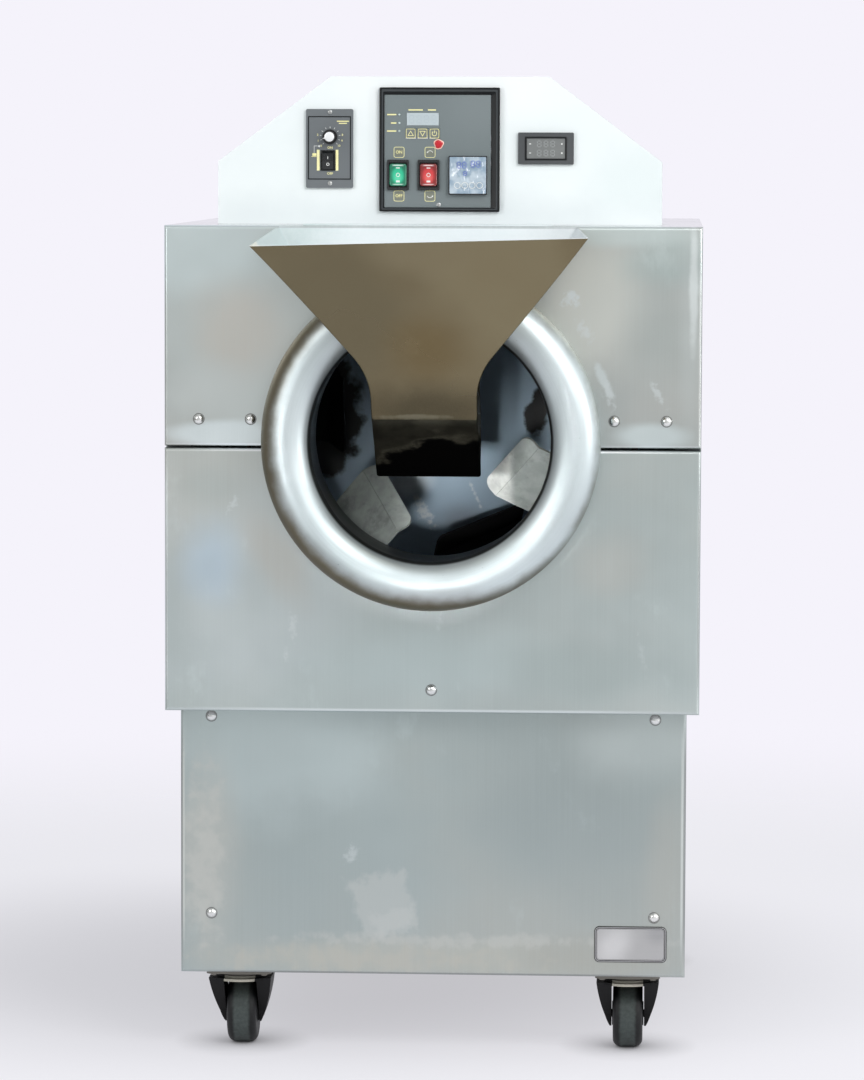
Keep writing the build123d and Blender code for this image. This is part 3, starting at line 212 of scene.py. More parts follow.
class NodeGraph(NodeTree):
    """A small builder for one material's nodes."""

    def __init__(self, name: str) -> None:
        """Starts a material with one Principled shader.

        Args:
            name: the material's name.
        """
        self.material = bpy.data.materials.new(name)
        self.material.use_nodes = True
        super().__init__(self.material.node_tree)
        self.shader = self.tree.nodes["Principled BSDF"]
        self.place = self.add("ShaderNodeTexCoord").outputs["Object"]

    def set(self, **values: object) -> None:
        """Sets constant inputs of the shader, with _ for a space in a socket's name."""
        self.fill(self.shader, **values)

    def stretched(self, scale: Point, turn: Point = (0.0, 0.0, 0.0),
                  move: Point = (0.0, 0.0, 0.0)) -> bpy.types.NodeSocket:
        """Returns Object coordinates scaled along each axis, turned and then moved.

        Args:
            scale: factors along X, Y and Z.
            turn: turns about X, Y and Z in radians.
            move: what is added at the end.

        Returns:
            The mapped coordinates.
        """
        mapping = self.fill(self.add("ShaderNodeMapping"), Scale=scale, Rotation=turn, Location=move)
        self.link(self.place, mapping.inputs["Vector"])
        return mapping.outputs["Vector"]

    def noise(self, scale: float, detail: float = 3.0, rough: float = 0.55,
              at: bpy.types.NodeSocket | None = None) -> bpy.types.NodeSocket:
        """Returns soft noise between 0 and 1.

        Args:
            scale: waves per metre.
            detail: how many finer octaves are added.
            rough: how strong those octaves are.
            at: coordinates other than plain Object ones.

        Returns:
            The noise value.
        """
        node = self.fill(self.add("ShaderNodeTexNoise"), Scale=scale, Detail=detail, Roughness=rough)
        self.link(at or self.place, node.inputs["Vector"])
        return node.outputs["Fac"]

    def axis(self, name: str) -> bpy.types.NodeSocket:
        """Returns one of the Object coordinates.

        Args:
            name: its letter.

        Returns:
            The coordinate.
        """
        split = self.add("ShaderNodeSeparateXYZ")
        self.link(self.place, split.inputs[0])
        return split.outputs[name]

    def length(self, vector: bpy.types.NodeSocket) -> bpy.types.NodeSocket:
        """Returns how long a vector is.

        Args:
            vector: the vector.

        Returns:
            Its length.
        """
        node = self.add("ShaderNodeVectorMath", operation="LENGTH")
        self.link(vector, node.inputs[0])
        return node.outputs["Value"]

    def widest(self, vector: bpy.types.NodeSocket) -> bpy.types.NodeSocket:
        """Returns how large a vector's X, Y and Z are at most, whatever their signs.

        Args:
            vector: the vector.

        Returns:
            The largest size.
        """
        split = self.add("ShaderNodeSeparateXYZ")
        self.link(vector, split.inputs[0])
        sizes = [self.math("ABSOLUTE", split.outputs[name], 0.0) for name in "XYZ"]
        return self.math("MAXIMUM", self.math("MAXIMUM", sizes[0], sizes[1]), sizes[2])

    def patch(self, patch: "Patch") -> bpy.types.NodeSocket:
        """Returns a soft patch's share of the surface.

        The distance from the patch's middle, counted in its turned reaches and made ragged by noise, fades
        the share from the full one at the core to none at the reach. A square patch counts the largest of
        the three distances.

        Args:
            patch: the patch.

        Returns:
            Its share at each point.
        """
        mapping = self.add("ShaderNodeMapping", vector_type="TEXTURE")
        self.fill(mapping, Location=patch.centre, Rotation=(0.0, patch.turn, 0.0), Scale=patch.reach)
        self.link(self.place, mapping.inputs["Vector"])
        measure = self.widest if patch.square else self.length
        away = measure(mapping.outputs["Vector"])
        rim = self.span(self.noise(patch.grain, 4.0), 0.2, 0.8, -patch.ragged, patch.ragged)
        return self.span(self.math("ADD", away, rim), patch.core, 1.0, patch.share, 0.0)

    def patched(self, base: bpy.types.NodeSocket, patches: tuple["Patch", ...]) -> bpy.types.NodeSocket:
        """Tints a colour by patches, one over the other.

        Args:
            base: the colour below.
            patches: the patches, the lowest first.

        Returns:
            The tinted colour.
        """
        for patch in patches:
            base = self.tint(self.patch(patch), base, patch.colour)
        return base

    def bump(self, height: bpy.types.NodeSocket, depth: float, strength: float = 1.0) -> None:
        """Lets a height tilt the shader's normal.

        Args:
            height: height between 0 and 1.
            depth: metres that 1 stands for.
            strength: share of the effect.
        """
        node = self.fill(self.add("ShaderNodeBump"), Strength=strength, Distance=depth)
        self.link(height, node.inputs["Height"])
        self.link(node.outputs["Normal"], self.shader.inputs["Normal"])

    def colour(self, value: bpy.types.NodeSocket) -> None:
        """Links the base colour."""
        self.link(value, self.shader.inputs["Base Color"])

    def roughness(self, value: bpy.types.NodeSocket) -> None:
        """Links the roughness."""
        self.link(value, self.shader.inputs["Roughness"])


def shade(colour: Colour, factor: float) -> Colour:
    """Returns a colour times a factor, each part at most 1."""
    return tuple(min(1.0, part * factor) for part in colour)


@dataclass(frozen=True)
class Patch:
    """A soft patch of another tint on a surface."""

    centre: Point
    reach: Point
    colour: Colour
    share: float = 0.6
    core: float = 0.2
    ragged: float = 0.16
    grain: float = 9.0
    turn: float = 0.0
    square: bool = False


@dataclass(frozen=True)
class SheetSteel:
    """Satin stainless sheet: cloudy tints, faint grain, handling marks and soft patches."""

    name: str
    cool: Colour
    warm: Colour
    rough: float = 0.36
    grain: Point = (620.0, 620.0, 4.0)
    rubs: float = 0.22
    streak: float = 0.09
    clouds: float = 2.7
    dim: float = 0.45
    spread: float = 0.06
    metallic: float = 1.0
    patches: tuple[Patch, ...] = ()

    def material(self) -> bpy.types.Material:
        """Clouds, patches, streaks and rubs tint the colour, broad noise and rubs vary the roughness.

        Returns:
            The material.
        """
        g = NodeGraph(self.name)
        g.set(Metallic=self.metallic)
        base = g.tint(g.span(g.noise(self.clouds, 4.0, 0.5), 0.36, 0.64), self.cool, self.warm)
        dim = g.noise(1.0, 3.0, 0.5, g.stretched((self.clouds,) * 3, move=(3.7, 1.3, 8.1)))
        base = g.tint(g.span(dim, 0.4, 0.7, 0.0, self.dim), base, shade(self.cool, 0.82))
        base = g.patched(base, self.patches)
        streaks = g.noise(1.0, 4.0, 0.6, g.stretched(self.grain))
        fine = g.tint(g.span(streaks, 0.3, 0.7, 0.0, self.streak), base, shade(self.cool, 1.25))
        rubs = g.span(g.noise(1.0, 5.0, 0.66, g.stretched((16.0, 16.0, 9.0))), 0.60, 0.78, 0.0, self.rubs)
        g.colour(g.tint(rubs, fine, shade(self.cool, 1.5)))
        wide = g.span(g.noise(5.3, 3.0), 0.3, 0.7, self.rough - self.spread, self.rough + self.spread)
        g.roughness(g.math("ADD", wide, g.math("MULTIPLY", rubs, 0.2)))
        g.bump(streaks, 0.00003, 0.25)
        return g.material


@dataclass(frozen=True)
class SpunCollar:
    """Rolled collar round the mouth: spun satin steel, its foot with a painted brown reflection and painted
    shade, its inner lip with painted shade.
    """

    name: str
    bright: Colour
    brown_reflection: Colour
    axis_z: float
    reflection_from: float
    right_shift: float
    reflection_over: float
    lip: float
    rough: float = 0.45
    metallic: float = 0.8
    patches: tuple[Patch, ...] = ()

    def material(self) -> bpy.types.Material:
        """The distance from the axis picks the foot, which starts further out on the right, and the lip:
        painted reflection and shade on the foot, painted shade on the lip.

        Returns:
            The material.
        """
        g = NodeGraph(self.name)
        g.set(Metallic=self.metallic)
        flat = g.stretched((1.0, 0.0, 1.0), move=(0.0, 0.0, -self.axis_z))
        radius = g.length(flat)
        right = g.math("MAXIMUM", g.math("DIVIDE", g.axis("X"), radius), 0.0)
        begin = g.math("ADD", g.math("MULTIPLY", right, self.right_shift), self.reflection_from)
        ragged = g.math("ADD", radius, g.span(g.noise(34.0, 4.0), 0.2, 0.8, -0.0025, 0.0025))
        # Painted brown reflection and shade on the foot of the ring
        foot = g.span(g.math("SUBTRACT", ragged, begin), 0.0, self.reflection_over)
        soft = g.tint(g.span(g.noise(6.0, 4.0), 0.35, 0.65), self.bright, shade(self.bright, 0.90))
        soft = g.patched(soft, self.patches)
        spun = g.noise(1.0, 3.0, 0.6, self.rounds(g, radius))
        fine = g.tint(g.span(spun, 0.35, 0.65, 0.0, 0.22), soft, shade(self.bright, 0.82))
        specks = g.span(g.noise(170.0, 2.0, 0.5), 0.74, 0.79, 0.0, 0.5)
        spotted = g.tint(specks, g.tint(foot, fine, self.brown_reflection), shade(self.bright, 0.35))
        # Painted shade on the inner lip, where the neck behind it is in shadow
        lip = g.span(radius, self.lip - 0.0012, self.lip + 0.0012, 0.94, 0.0)
        g.colour(g.tint(lip, spotted, shade(self.brown_reflection, 0.05)))
        g.roughness(g.span(g.noise(9.0, 3.0), 0.3, 0.7, self.rough - 0.05, self.rough + 0.05))
        g.bump(spun, 0.00003, 0.5)
        return g.material

    def rounds(self, g: NodeGraph, radius: bpy.types.NodeSocket) -> bpy.types.NodeSocket:
        """Joins the radius and the depth, both quick, and the height, which is slow.

        Args:
            g: the material's builder.
            radius: distance from the drum's axis.

        Returns:
            Coordinates for the marks of spinning.
        """
        joined = g.add("ShaderNodeCombineXYZ")
        for name, value, quick in (("X", radius, 420.0), ("Y", g.axis("Y"), 420.0), ("Z", g.axis("Z"), 5.0)):
            g.link(g.math("MULTIPLY", value, quick), joined.inputs[name])
        return joined.outputs[0]


@dataclass(frozen=True)
class ShadedChuteSteel:
    """Brown steel, the brown a painted reflection, blackened by painted shade from its lower end up, higher
    on the right than on the left.
    """

    name: str
    brown_reflection: Colour
    shade_black: Colour
    edge: float
    lean: float

    def material(self) -> bpy.types.Material:
        """Height, a share of how far left the point lies and noise, added up, pick painted shade or steel.

        Returns:
            The material.
        """
        g = NodeGraph(self.name)
        left = g.math("MINIMUM", g.axis("X"), 0.0)
        level = g.math("SUBTRACT", g.axis("Z"), g.math("MULTIPLY", left, self.lean))
        ragged = g.math("ADD", level, g.span(g.noise(30.0, 5.0, 0.6), 0.2, 0.8, -0.012, 0.012))
        # Painted shade: the chute lies in shadow and reflects the dark drum
        unshaded = g.span(ragged, self.edge - 0.009, self.edge + 0.009)
        cloudy = g.tint(g.span(g.noise(26.0, 4.0), 0.35, 0.65), self.brown_reflection, shade(self.brown_reflection, 0.55))
        g.colour(g.tint(unshaded, self.shade_black, cloudy))
        g.set(Specular_IOR_Level=0.02)
        g.link(g.span(unshaded, 0.0, 1.0, 0.0, 0.9), g.shader.inputs["Metallic"])
        g.roughness(g.span(unshaded, 0.0, 1.0, 0.85, 0.38))
        g.bump(g.noise(300.0, 3.0), 0.00006, 0.4)
        return g.material


@dataclass(frozen=True)
class FlightSteel:
    """Mixing flights: pale worn steel in front, with painted shade towards the shell, the top, the left and
    the far right, stains, and painted black shade behind.
    """

    name: str
    pale: Colour
    left_shade: Colour
    shaded: Colour
    shade_black: Colour
    axis_z: float
    front_depth: float
    shell_radius: float
    shade_height: float

    def material(self) -> bpy.types.Material:
        """Depth picks painted black shade or pale steel, with painted shade on the left and the far right of
        the width.

        The pale steel darkens with painted shade near the shell and above a height, and with stains.

        Returns:
            The material.
        """
        g = NodeGraph(self.name)
        radius = g.length(g.stretched((1.0, 0.0, 1.0), move=(0.0, 0.0, -self.axis_z)))
        ragged = g.span(g.noise(26.0, 5.0, 0.6), 0.2, 0.8, -0.02, 0.02)
        # Painted shade near the shell and above a height, where the flights lie in shadow
        shell = g.span(g.math("ADD", radius, ragged), self.shell_radius - 0.03, self.shell_radius, 0.0, 0.75)
        high = g.span(g.math("ADD", g.axis("Z"), ragged), self.shade_height - 0.02, self.shade_height + 0.02)
        stains = g.span(g.noise(38.0, 5.0, 0.62), 0.52, 0.72, 0.0, 0.35)
        # Painted shade: behind the front depth the flights are black
        behind = g.span(g.axis("Y"), self.front_depth - 0.004, self.front_depth + 0.004)
        dark = g.math("MAXIMUM", g.math("MAXIMUM", shell, high), g.math("MAXIMUM", stains, behind))
        # Painted shade on the left side and the far right of the flights
        side = g.tint(g.span(g.axis("X"), -0.02, 0.02), self.left_shade, self.pale)
        side = g.tint(g.span(g.axis("X"), 0.084, 0.098), side, self.shaded)
        # Wear and the stains above take the same black as the painted shade
        worn = g.tint(g.span(g.noise(60.0, 4.0), 0.35, 0.65, 0.0, 0.2), side, self.shade_black)
        g.colour(g.tint(dark, worn, self.shade_black))
        g.roughness(g.span(dark, 0.0, 1.0, 0.46, 0.62))
        g.set(Metallic=0.15)
        g.bump(g.noise(120.0, 4.0), 0.00015, 0.5)
        return g.material


@dataclass(frozen=True)
class Coating:
    """Paint or moulded plastic: a colour with soft shifts, a fine texture and its own gloss."""

    name: str
    colour: Colour
    rough: float = 0.4
    shift: float = 0.12
    texture: float = 900.0
    depth: float = 0.00004
    coat: float = 0.0
    metallic: float = 0.0
    specular: float = 0.5
    patches: tuple[Patch, ...] = ()

    def material(self) -> bpy.types.Material:
        """Noise of two sizes and patches tint the colour, the finer noise varies roughness and height.

        Returns:
            The material.
        """
        g = NodeGraph(self.name)
        g.set(Metallic=self.metallic, Coat_Weight=self.coat, Coat_Roughness=0.12)
        g.set(Specular_IOR_Level=self.specular)
        soft = g.span(g.noise(9.0, 4.0), 0.3, 0.7)
        fine = g.noise(self.texture, 2.0)
        base = g.tint(soft, shade(self.colour, 1.0 - self.shift), shade(self.colour, 1.0 + self.shift))
        base = g.tint(g.span(fine, 0.35, 0.7, 0.0, 0.25), base, shade(self.colour, 1.0 + 2 * self.shift))
        g.colour(g.patched(base, self.patches))
        g.roughness(g.span(fine, 0.3, 0.7, self.rough * 0.94, self.rough * 1.06))
        g.bump(fine, self.depth, 0.5)
        return g.material


@dataclass(frozen=True)
class TwoTone:
    """One coating round the middle plane of a caster and another beside it, with a soft edge."""

    name: str
    low: Coating
    high: Coating
    edge: float
    soft: float
    centre: float = CASTER_X

    def material(self) -> bpy.types.Material:
        """The distance of |X| from the centre, plus a little noise, picks between the two colours.

        Returns:
            The material.
        """
        g = NodeGraph(self.name)
        g.set(Metallic=self.low.metallic, Specular_IOR_Level=self.low.specular)
        across = g.math("ABSOLUTE", g.axis("X"), 0.0)
        away = g.math("ABSOLUTE", g.math("SUBTRACT", across, self.centre), 0.0)
        ragged = g.math("ADD", away, g.span(g.noise(160.0, 4.0), 0.2, 0.8, -self.soft / 4, self.soft / 4))
        share = g.span(ragged, self.edge - self.soft, self.edge + self.soft)
        fine = g.noise(self.low.texture, 3.0)
        shift = g.span(fine, 0.3, 0.7)
        first, second = (g.tint(shift, shade(coat.colour, 1 - coat.shift), shade(coat.colour, 1 + coat.shift))
                         for coat in (self.low, self.high))
        g.colour(g.tint(share, first, second))
        g.roughness(g.span(share, 0.0, 1.0, self.low.rough, self.high.rough))
        g.bump(fine, self.low.depth, 0.5)
        return g.material


@dataclass(frozen=True)
class WrinkledFilm:
    """Clear film over a pale blue screen: white streaks, bluish hollows and a wet gloss."""

    name: str = "film_wrinkled"

    def material(self) -> bpy.types.Material:
        """Slanted noise gives the streaks and lifts the surface, broad noise gives the hollows.

        Returns:
            The material.
        """
        g = NodeGraph(self.name)
        g.set(Coat_Weight=0.8, Coat_Roughness=0.08, Roughness=0.22)
        folds = g.noise(1.0, 3.0, 0.6, g.stretched((190.0, 190.0, 90.0), (0.0, 0.5, 0.0)))
        streaks = g.span(folds, 0.55, 0.68)
        base = g.tint(g.span(g.noise(70.0, 2.0), 0.35, 0.65), (0.25, 0.34, 0.43), (0.46, 0.54, 0.60))
        g.colour(g.tint(streaks, base, (0.84, 0.89, 0.94)))
        g.bump(folds, 0.0012, 0.8)
        return g.material


COOL_STEEL = (0.52, 0.575, 0.575)
WARM_STEEL = (0.56, 0.565, 0.54)
LOWER_COOL = (0.555, 0.625, 0.622)
LOWER_WARM = (0.585, 0.605, 0.58)
BASE_COOL = (0.455, 0.525, 0.525)
BASE_WARM = (0.475, 0.505, 0.485)
PALE_TINT = (0.74, 0.79, 0.80)
# Painted highlight and painted shade for the lines along bent sheet edges
BEND_HIGHLIGHT = (0.95, 0.97, 1.0)
EDGE_SHADE = (0.30, 0.315, 0.315)
# Near black for painted shade
DARK_SHADE = (0.003, 0.003, 0.003)
EVEN_GRAIN = (400.0, 400.0, 400.0)
LEVEL_GRAIN = (30.0, 30.0, 500.0)


@dataclass(frozen=True)
class Face:
    """A flat face at one depth, whose patches are placed by x and z."""

    y: float
    deep: float = 1.0

    def patch(self, x: float, z: float, across: float, up: float, colour: Colour, share: float = 0.6,
              core: float = 0.2, ragged: float = 0.16, grain: float = 9.0, turn: float = 0.0,
              square: bool = False) -> Patch:
        """Places a soft patch.

        Args:
            x: its middle.
            z: its middle's height.
            across: half its width.
            up: half its height.
            colour: its tint.
            share: how much of the tint its core has.
            core: share of its reach that the core fills.
            ragged: how far noise moves its rim.
            grain: waves of that noise per metre.
            turn: its turn about Y in degrees.
            square: whether its corners are square.

        Returns:
            The patch.
        """
        place, reach = (x, self.y, z), (across, self.deep, up)
        return Patch(place, reach, colour, share, core, ragged, grain, math.radians(turn), square)

    def edge(self, x: float, z: float, across: float, up: float, colour: Colour, share: float,
             deep: float = 0.006) -> Patch:
        """Places a straight sharp line where a sheet is bent over, a painted highlight when pale and painted
        shade when dark.

        Args:
            x: its middle.
            z: its middle's height.
            across: half its width.
            up: half its height.
            colour: its tint.
            share: how much of the tint it has.
            deep: how far behind the face it reaches.

        Returns:
            The patch.
        """
        return Face(self.y, deep).patch(x, z, across, up, colour, share, 0.5, 0.04, square=True)

    def scratch(self, x: float, z: float, across: float, up: float, turn: float, share: float) -> Patch:
        """Places a pale ragged scratch of a half width and half height, turned about Y in degrees."""
        return self.patch(x, z, across, up, PALE_TINT, share, 0.0, 0.6, 170.0, turn)


BODY = Face(FRONT_Y)
BASE = Face(BASE_Y)
MOUTH = Face(-0.33)
BACK = Face(DRUM_BACK_Y)
PLATE = Face(PLATE_Y)
ROCKER = Face(-0.137)


def rocker_paint(name: str, x: float, dark: Colour, tints: tuple[Colour, ...]) -> Coating:
    """A rocker's glossy plastic with painted light: a bright face and glow, painted shade at its rim, painted
    glints.

    Args:
        name: the finish's name.
        x: the rocker's middle.
        dark: the painted shade at its rim.
        tints: the painted light of its face, of the glow in it, and of the glints above and below.

    Returns:
        The finish.
    """
    face, glow, high, low = tints
    return Coating(name, dark, 0.2, 0.1, 300.0, 0.00002, 0.6, patches=(
        ROCKER.patch(x, 1.0800, 0.0098, 0.0135, face, 0.95, 0.5, 0.05),
        ROCKER.patch(x, 1.0770, 0.0070, 0.0090, glow, 0.6, 0.1, 0.05),
        ROCKER.patch(x, 1.0925, 0.0085, 0.0012, high, 0.7, 0.4, 0.05, square=True),
        ROCKER.patch(x, 1.0690, 0.0085, 0.0010, low, 0.6, 0.4, 0.05, square=True),
    ))


STEEL = SheetSteel("sheet_steel", COOL_STEEL, (0.535, 0.572, 0.565), rubs=0.08, dim=0.2, spread=0.02)
TOP_STEEL = SheetSteel("top_steel", (0.74, 0.745, 0.76), (0.76, 0.755, 0.76), 0.2, rubs=0.05, streak=0.03)
UPPER_STEEL = SheetSteel("upper_panel_steel", COOL_STEEL, WARM_STEEL, patches=(
    # Painted light: most patches lighten or darken the sheet where it caught more or less light, some also
    # with a warm or cool tone;
    # the strips along the lower and right edges are painted highlights, the line at the right bend painted
    # shade; scratches and streak are marks
    BODY.patch(-0.20, 0.90, 0.24, 0.20, (0.65, 0.70, 0.69), 0.85, 0.5),
    BODY.patch(-0.28, 0.995, 0.15, 0.085, (0.70, 0.79, 0.80), 0.8, 0.35),
    BODY.patch(-0.235, 0.895, 0.085, 0.085, (0.69, 0.66, 0.605), 0.75),
    BODY.patch(-0.275, 0.820, 0.090, 0.050, (0.69, 0.73, 0.72), 0.75),
    BODY.patch(-0.255, 0.768, 0.085, 0.022, (0.84, 0.92, 0.945), 0.85, 0.5, 0.12),
    BODY.patch(0.195, 0.920, 0.095, 0.120, (0.69, 0.705, 0.66), 0.8, 0.3),
    BODY.patch(0.276, 0.890, 0.080, 0.100, (0.49, 0.535, 0.52), 0.65),
    BODY.patch(0.290, 0.980, 0.080, 0.050, (0.47, 0.56, 0.55), 0.65),
    BODY.patch(0.230, 1.012, 0.110, 0.022, (0.64, 0.73, 0.72), 0.65, 0.3),
    BODY.patch(0.262, 0.768, 0.060, 0.022, (0.78, 0.87, 0.885), 0.75, 0.45, 0.12),
    BODY.patch(0.2057, 0.838, 0.0075, 0.036, (0.76, 0.83, 0.84), 0.7, 0.2, 0.3, 60.0, -25.0),
    BODY.scratch(0.183, 0.894, 0.010, 0.016, -25.0, 0.55),
    BODY.scratch(0.212, 0.822, 0.007, 0.024, -18.0, 0.7),
    BODY.scratch(0.273, 0.819, 0.006, 0.021, -28.0, 0.6),
    BODY.scratch(0.167, 0.934, 0.013, 0.012, 0.0, 0.95),
    BODY.patch(0.310, 0.880, 0.022, 0.160, (0.62, 0.665, 0.66), 0.5),
    BODY.patch(0.3145, 0.950, 0.0075, 0.110, (0.86, 0.91, 0.91), 0.7, 0.3, 0.15, 40.0),
    BODY.edge(0.3235, 0.885, 0.0016, 0.140, EDGE_SHADE, 0.6),
))
LOWER_STEEL = SheetSteel("lower_panel_steel", LOWER_COOL, LOWER_WARM, patches=(
    # Painted light: most patches lighten or darken the sheet where it caught more or less light, some also
    # with a warm or cool tone;
    # the lines at the top, bottom and left edges are painted highlights on the bends, the right one painted
    # shade; the scratches are marks
    BODY.patch(-0.22, 0.58, 0.18, 0.16, (0.60, 0.66, 0.67), 0.8, 0.4),
    BODY.patch(-0.268, 0.610, 0.060, 0.075, (0.58, 0.69, 0.78), 0.9),
    BODY.patch(-0.190, 0.619, 0.042, 0.090, (0.63, 0.605, 0.555), 0.55, turn=-34.0),
    BODY.patch(-0.270, 0.705, 0.060, 0.040, (0.50, 0.545, 0.53), 0.6),
    BODY.patch(0.0, 0.485, 0.22, 0.065, (0.575, 0.665, 0.67), 0.7),
    BODY.scratch(-0.241, 0.683, 0.006, 0.014, 30.0, 0.6),
    BODY.scratch(-0.168, 0.535, 0.006, 0.020, 0.0, 0.5),
    BODY.scratch(-0.176, 0.500, 0.005, 0.012, 0.0, 0.5),
    BODY.scratch(0.010, 0.540, 0.005, 0.016, 8.0, 0.3),
    BODY.scratch(0.256, 0.500, 0.005, 0.030, -12.0, 0.35),
    BODY.patch(0.215, 0.610, 0.070, 0.060, (0.585, 0.585, 0.55), 0.5),
    BODY.patch(0.200, 0.480, 0.160, 0.060, (0.46, 0.53, 0.525), 0.7),
    BODY.edge(0.0, 0.7492, 0.330, 0.0024, BEND_HIGHLIGHT, 0.95),
    BODY.edge(0.0, 0.4330, 0.330, 0.0024, (0.72, 0.78, 0.78), 0.7),
    BODY.edge(-0.3228, 0.590, 0.0022, 0.170, (0.80, 0.85, 0.86), 0.7),
    BODY.edge(0.3232, 0.590, 0.0018, 0.170, EDGE_SHADE, 0.7),
))
BASE_STEEL = SheetSteel("base_panel_steel", BASE_COOL, BASE_WARM, patches=(
    # Painted light: most patches lighten or darken the sheet where it caught more or less light, some also
    # with a warm or cool tone;
    # at each side a painted highlight lies beside painted shade on the bend, the bottom line is painted
    # shade; the squares and scratch are marks
    BASE.patch(0.16, 0.29, 0.20, 0.14, (0.40, 0.455, 0.455), 0.75),
    BASE.patch(-0.20, 0.38, 0.20, 0.12, (0.545, 0.625, 0.63), 0.8, 0.3),
    BASE.patch(-0.275, 0.24, 0.050, 0.20, (0.53, 0.55, 0.52), 0.7),
    BASE.patch(0.0, 0.122, 0.40, 0.034, (0.525, 0.54, 0.495), 0.75, 0.3),
    BASE.patch(-0.060, 0.188, 0.040, 0.042, (0.62, 0.645, 0.625), 0.5, 0.7, 0.2, 60.0, -14.0, True),
    BASE.patch(-0.050, 0.165, 0.030, 0.018, (0.66, 0.68, 0.66), 0.3, 0.6, 0.3, 90.0, -14.0, True),
    BASE.scratch(-0.100, 0.250, 0.010, 0.014, 20.0, 0.4),
    BASE.patch(0.255, 0.385, 0.110, 0.070, (0.545, 0.605, 0.60), 0.75),
    BASE.patch(0.285, 0.22, 0.035, 0.16, (0.49, 0.505, 0.475), 0.6),
    BASE.patch(0.20, 0.125, 0.13, 0.040, (0.455, 0.465, 0.430), 0.7),
    BASE.patch(-0.283, 0.245, 0.032, 0.150, (0.62, 0.625, 0.590), 0.6, 0.1, 0.6, 40.0),
    BASE.patch(-0.090, 0.118, 0.250, 0.022, (0.57, 0.560, 0.500), 0.6, 0.1, 0.6, 40.0),
    BASE.patch(0.020, 0.144, 0.260, 0.010, (0.62, 0.630, 0.600), 0.5, 0.0, 0.7, 50.0),
    BASE.edge(0.3055, 0.265, 0.0018, 0.155, (0.72, 0.76, 0.74), 0.8),
    BASE.edge(0.3088, 0.265, 0.0022, 0.170, EDGE_SHADE, 0.95),
    BASE.edge(-0.3066, 0.265, 0.0020, 0.155, (0.68, 0.71, 0.68), 0.75),
    BASE.edge(-0.3092, 0.265, 0.0018, 0.170, EDGE_SHADE, 0.95),
    BASE.edge(0.0, 0.1022, 0.310, 0.0022, EDGE_SHADE, 0.8),
))
BASE_PLAIN = SheetSteel("base_plain_steel", BASE_COOL, (0.46, 0.518, 0.512), rubs=0.08, dim=0.2, spread=0.02)
# The hopper's brown and its patches are painted reflection of brown surroundings, with painted shade at the
# neck and a painted highlight along the hem
HOPPER_STEEL = SheetSteel("hopper_steel", (0.205, 0.170, 0.102), (0.165, 0.126, 0.069), 0.28, clouds=6.0,
                          streak=0.06, rubs=0.12, patches=(
    Patch((-0.110, -0.42, 0.930), (0.135, 0.5, 0.150), (0.158, 0.135, 0.083), 0.8, 0.4),
    Patch((0.105, -0.42, 0.960), (0.130, 0.5, 0.120), (0.250, 0.215, 0.132), 0.7, 0.4),
    Patch((0.000, -0.38, 0.880), (0.070, 0.5, 0.060), (0.168, 0.124, 0.060), 0.75),
    Patch((-0.010, -0.45, 0.995), (0.090, 0.5, 0.045), (0.240, 0.205, 0.128), 0.7),
    Patch((-0.006, -0.36, 0.800), (0.20, 0.5, 0.050), (0.085, 0.072, 0.045), 0.9, 0.1),
    Patch((-0.020, -0.35, 0.7935), (0.055, 0.5, 0.004), (0.20, 0.185, 0.13), 0.7, 0.3, 0.3, 60.0),
))
COLLAR_STEEL = SpunCollar("collar_steel", bright=(0.62, 0.69, 0.705), brown_reflection=(0.135, 0.118, 0.080),
                          axis_z=AXIS_Z, reflection_from=0.1785, right_shift=0.016, reflection_over=0.020, lip=0.1478,
                          patches=(
    # The patches are painted shade: the lower left, the bottom and the upper left of the collar dimmed where
    # it caught less light
    MOUTH.patch(-0.090, 0.655, 0.125, 0.110, (0.38, 0.43, 0.44), 0.9, 0.3),
    MOUTH.patch(0.010, 0.563, 0.130, 0.036, (0.44, 0.475, 0.48), 0.8, 0.2),
    MOUTH.patch(-0.170, 0.780, 0.060, 0.080, (0.58, 0.64, 0.655), 0.8, 0.2),
))
DRUM_STEEL = SheetSteel("drum_steel", (0.024, 0.026, 0.030), (0.030, 0.030, 0.031), 0.42,
                        (90.0, 9.0, 90.0), 0.1)
PLATE_STEEL = SheetSteel("plate_steel", (0.50, 0.51, 0.51), (0.54, 0.53, 0.51), 0.45)
MACHINED = SheetSteel("machined_steel", (0.50, 0.50, 0.49), (0.54, 0.53, 0.50), 0.28)
CHROME = SheetSteel("bolt_chrome", (0.78, 0.80, 0.80), (0.82, 0.82, 0.80), 0.26, EVEN_GRAIN, 0.1)
SCREW_STEEL = SheetSteel("screw_steel", (0.40, 0.41, 0.41), (0.44, 0.44, 0.43), 0.42, EVEN_GRAIN, 0.1)
# Dark steel for the bolt flanges, painted shade round the domes
BOLT_RIM_SHADE = SheetSteel("bolt_rim_shade", (0.27, 0.28, 0.28), (0.31, 0.31, 0.30), 0.35, (300.0, 300.0, 300.0), 0.1)
ENAMEL = Coating("white_enamel", (0.775, 0.822, 0.818), 0.32, 0.004, 20.0, 0.000002, 0.15, patches=(
    # Painted light: a painted highlight at the top middle, painted shade on the right and towards the bottom
    Face(BOX_Y, 0.3).patch(0.0, 1.185, 0.22, 0.060, (0.84, 0.865, 0.86), 0.8, 0.3),
    Face(BOX_Y, 0.3).patch(0.235, 1.070, 0.090, 0.070, (0.71, 0.775, 0.77), 0.8, 0.2),
    Face(BOX_Y).patch(0.0, 1.025, 0.5, 0.055, (0.62, 0.675, 0.685), 0.7, 0.1),
))
FRAME_PAINT = Coating("frame_paint", (0.16, 0.17, 0.18), 0.55)
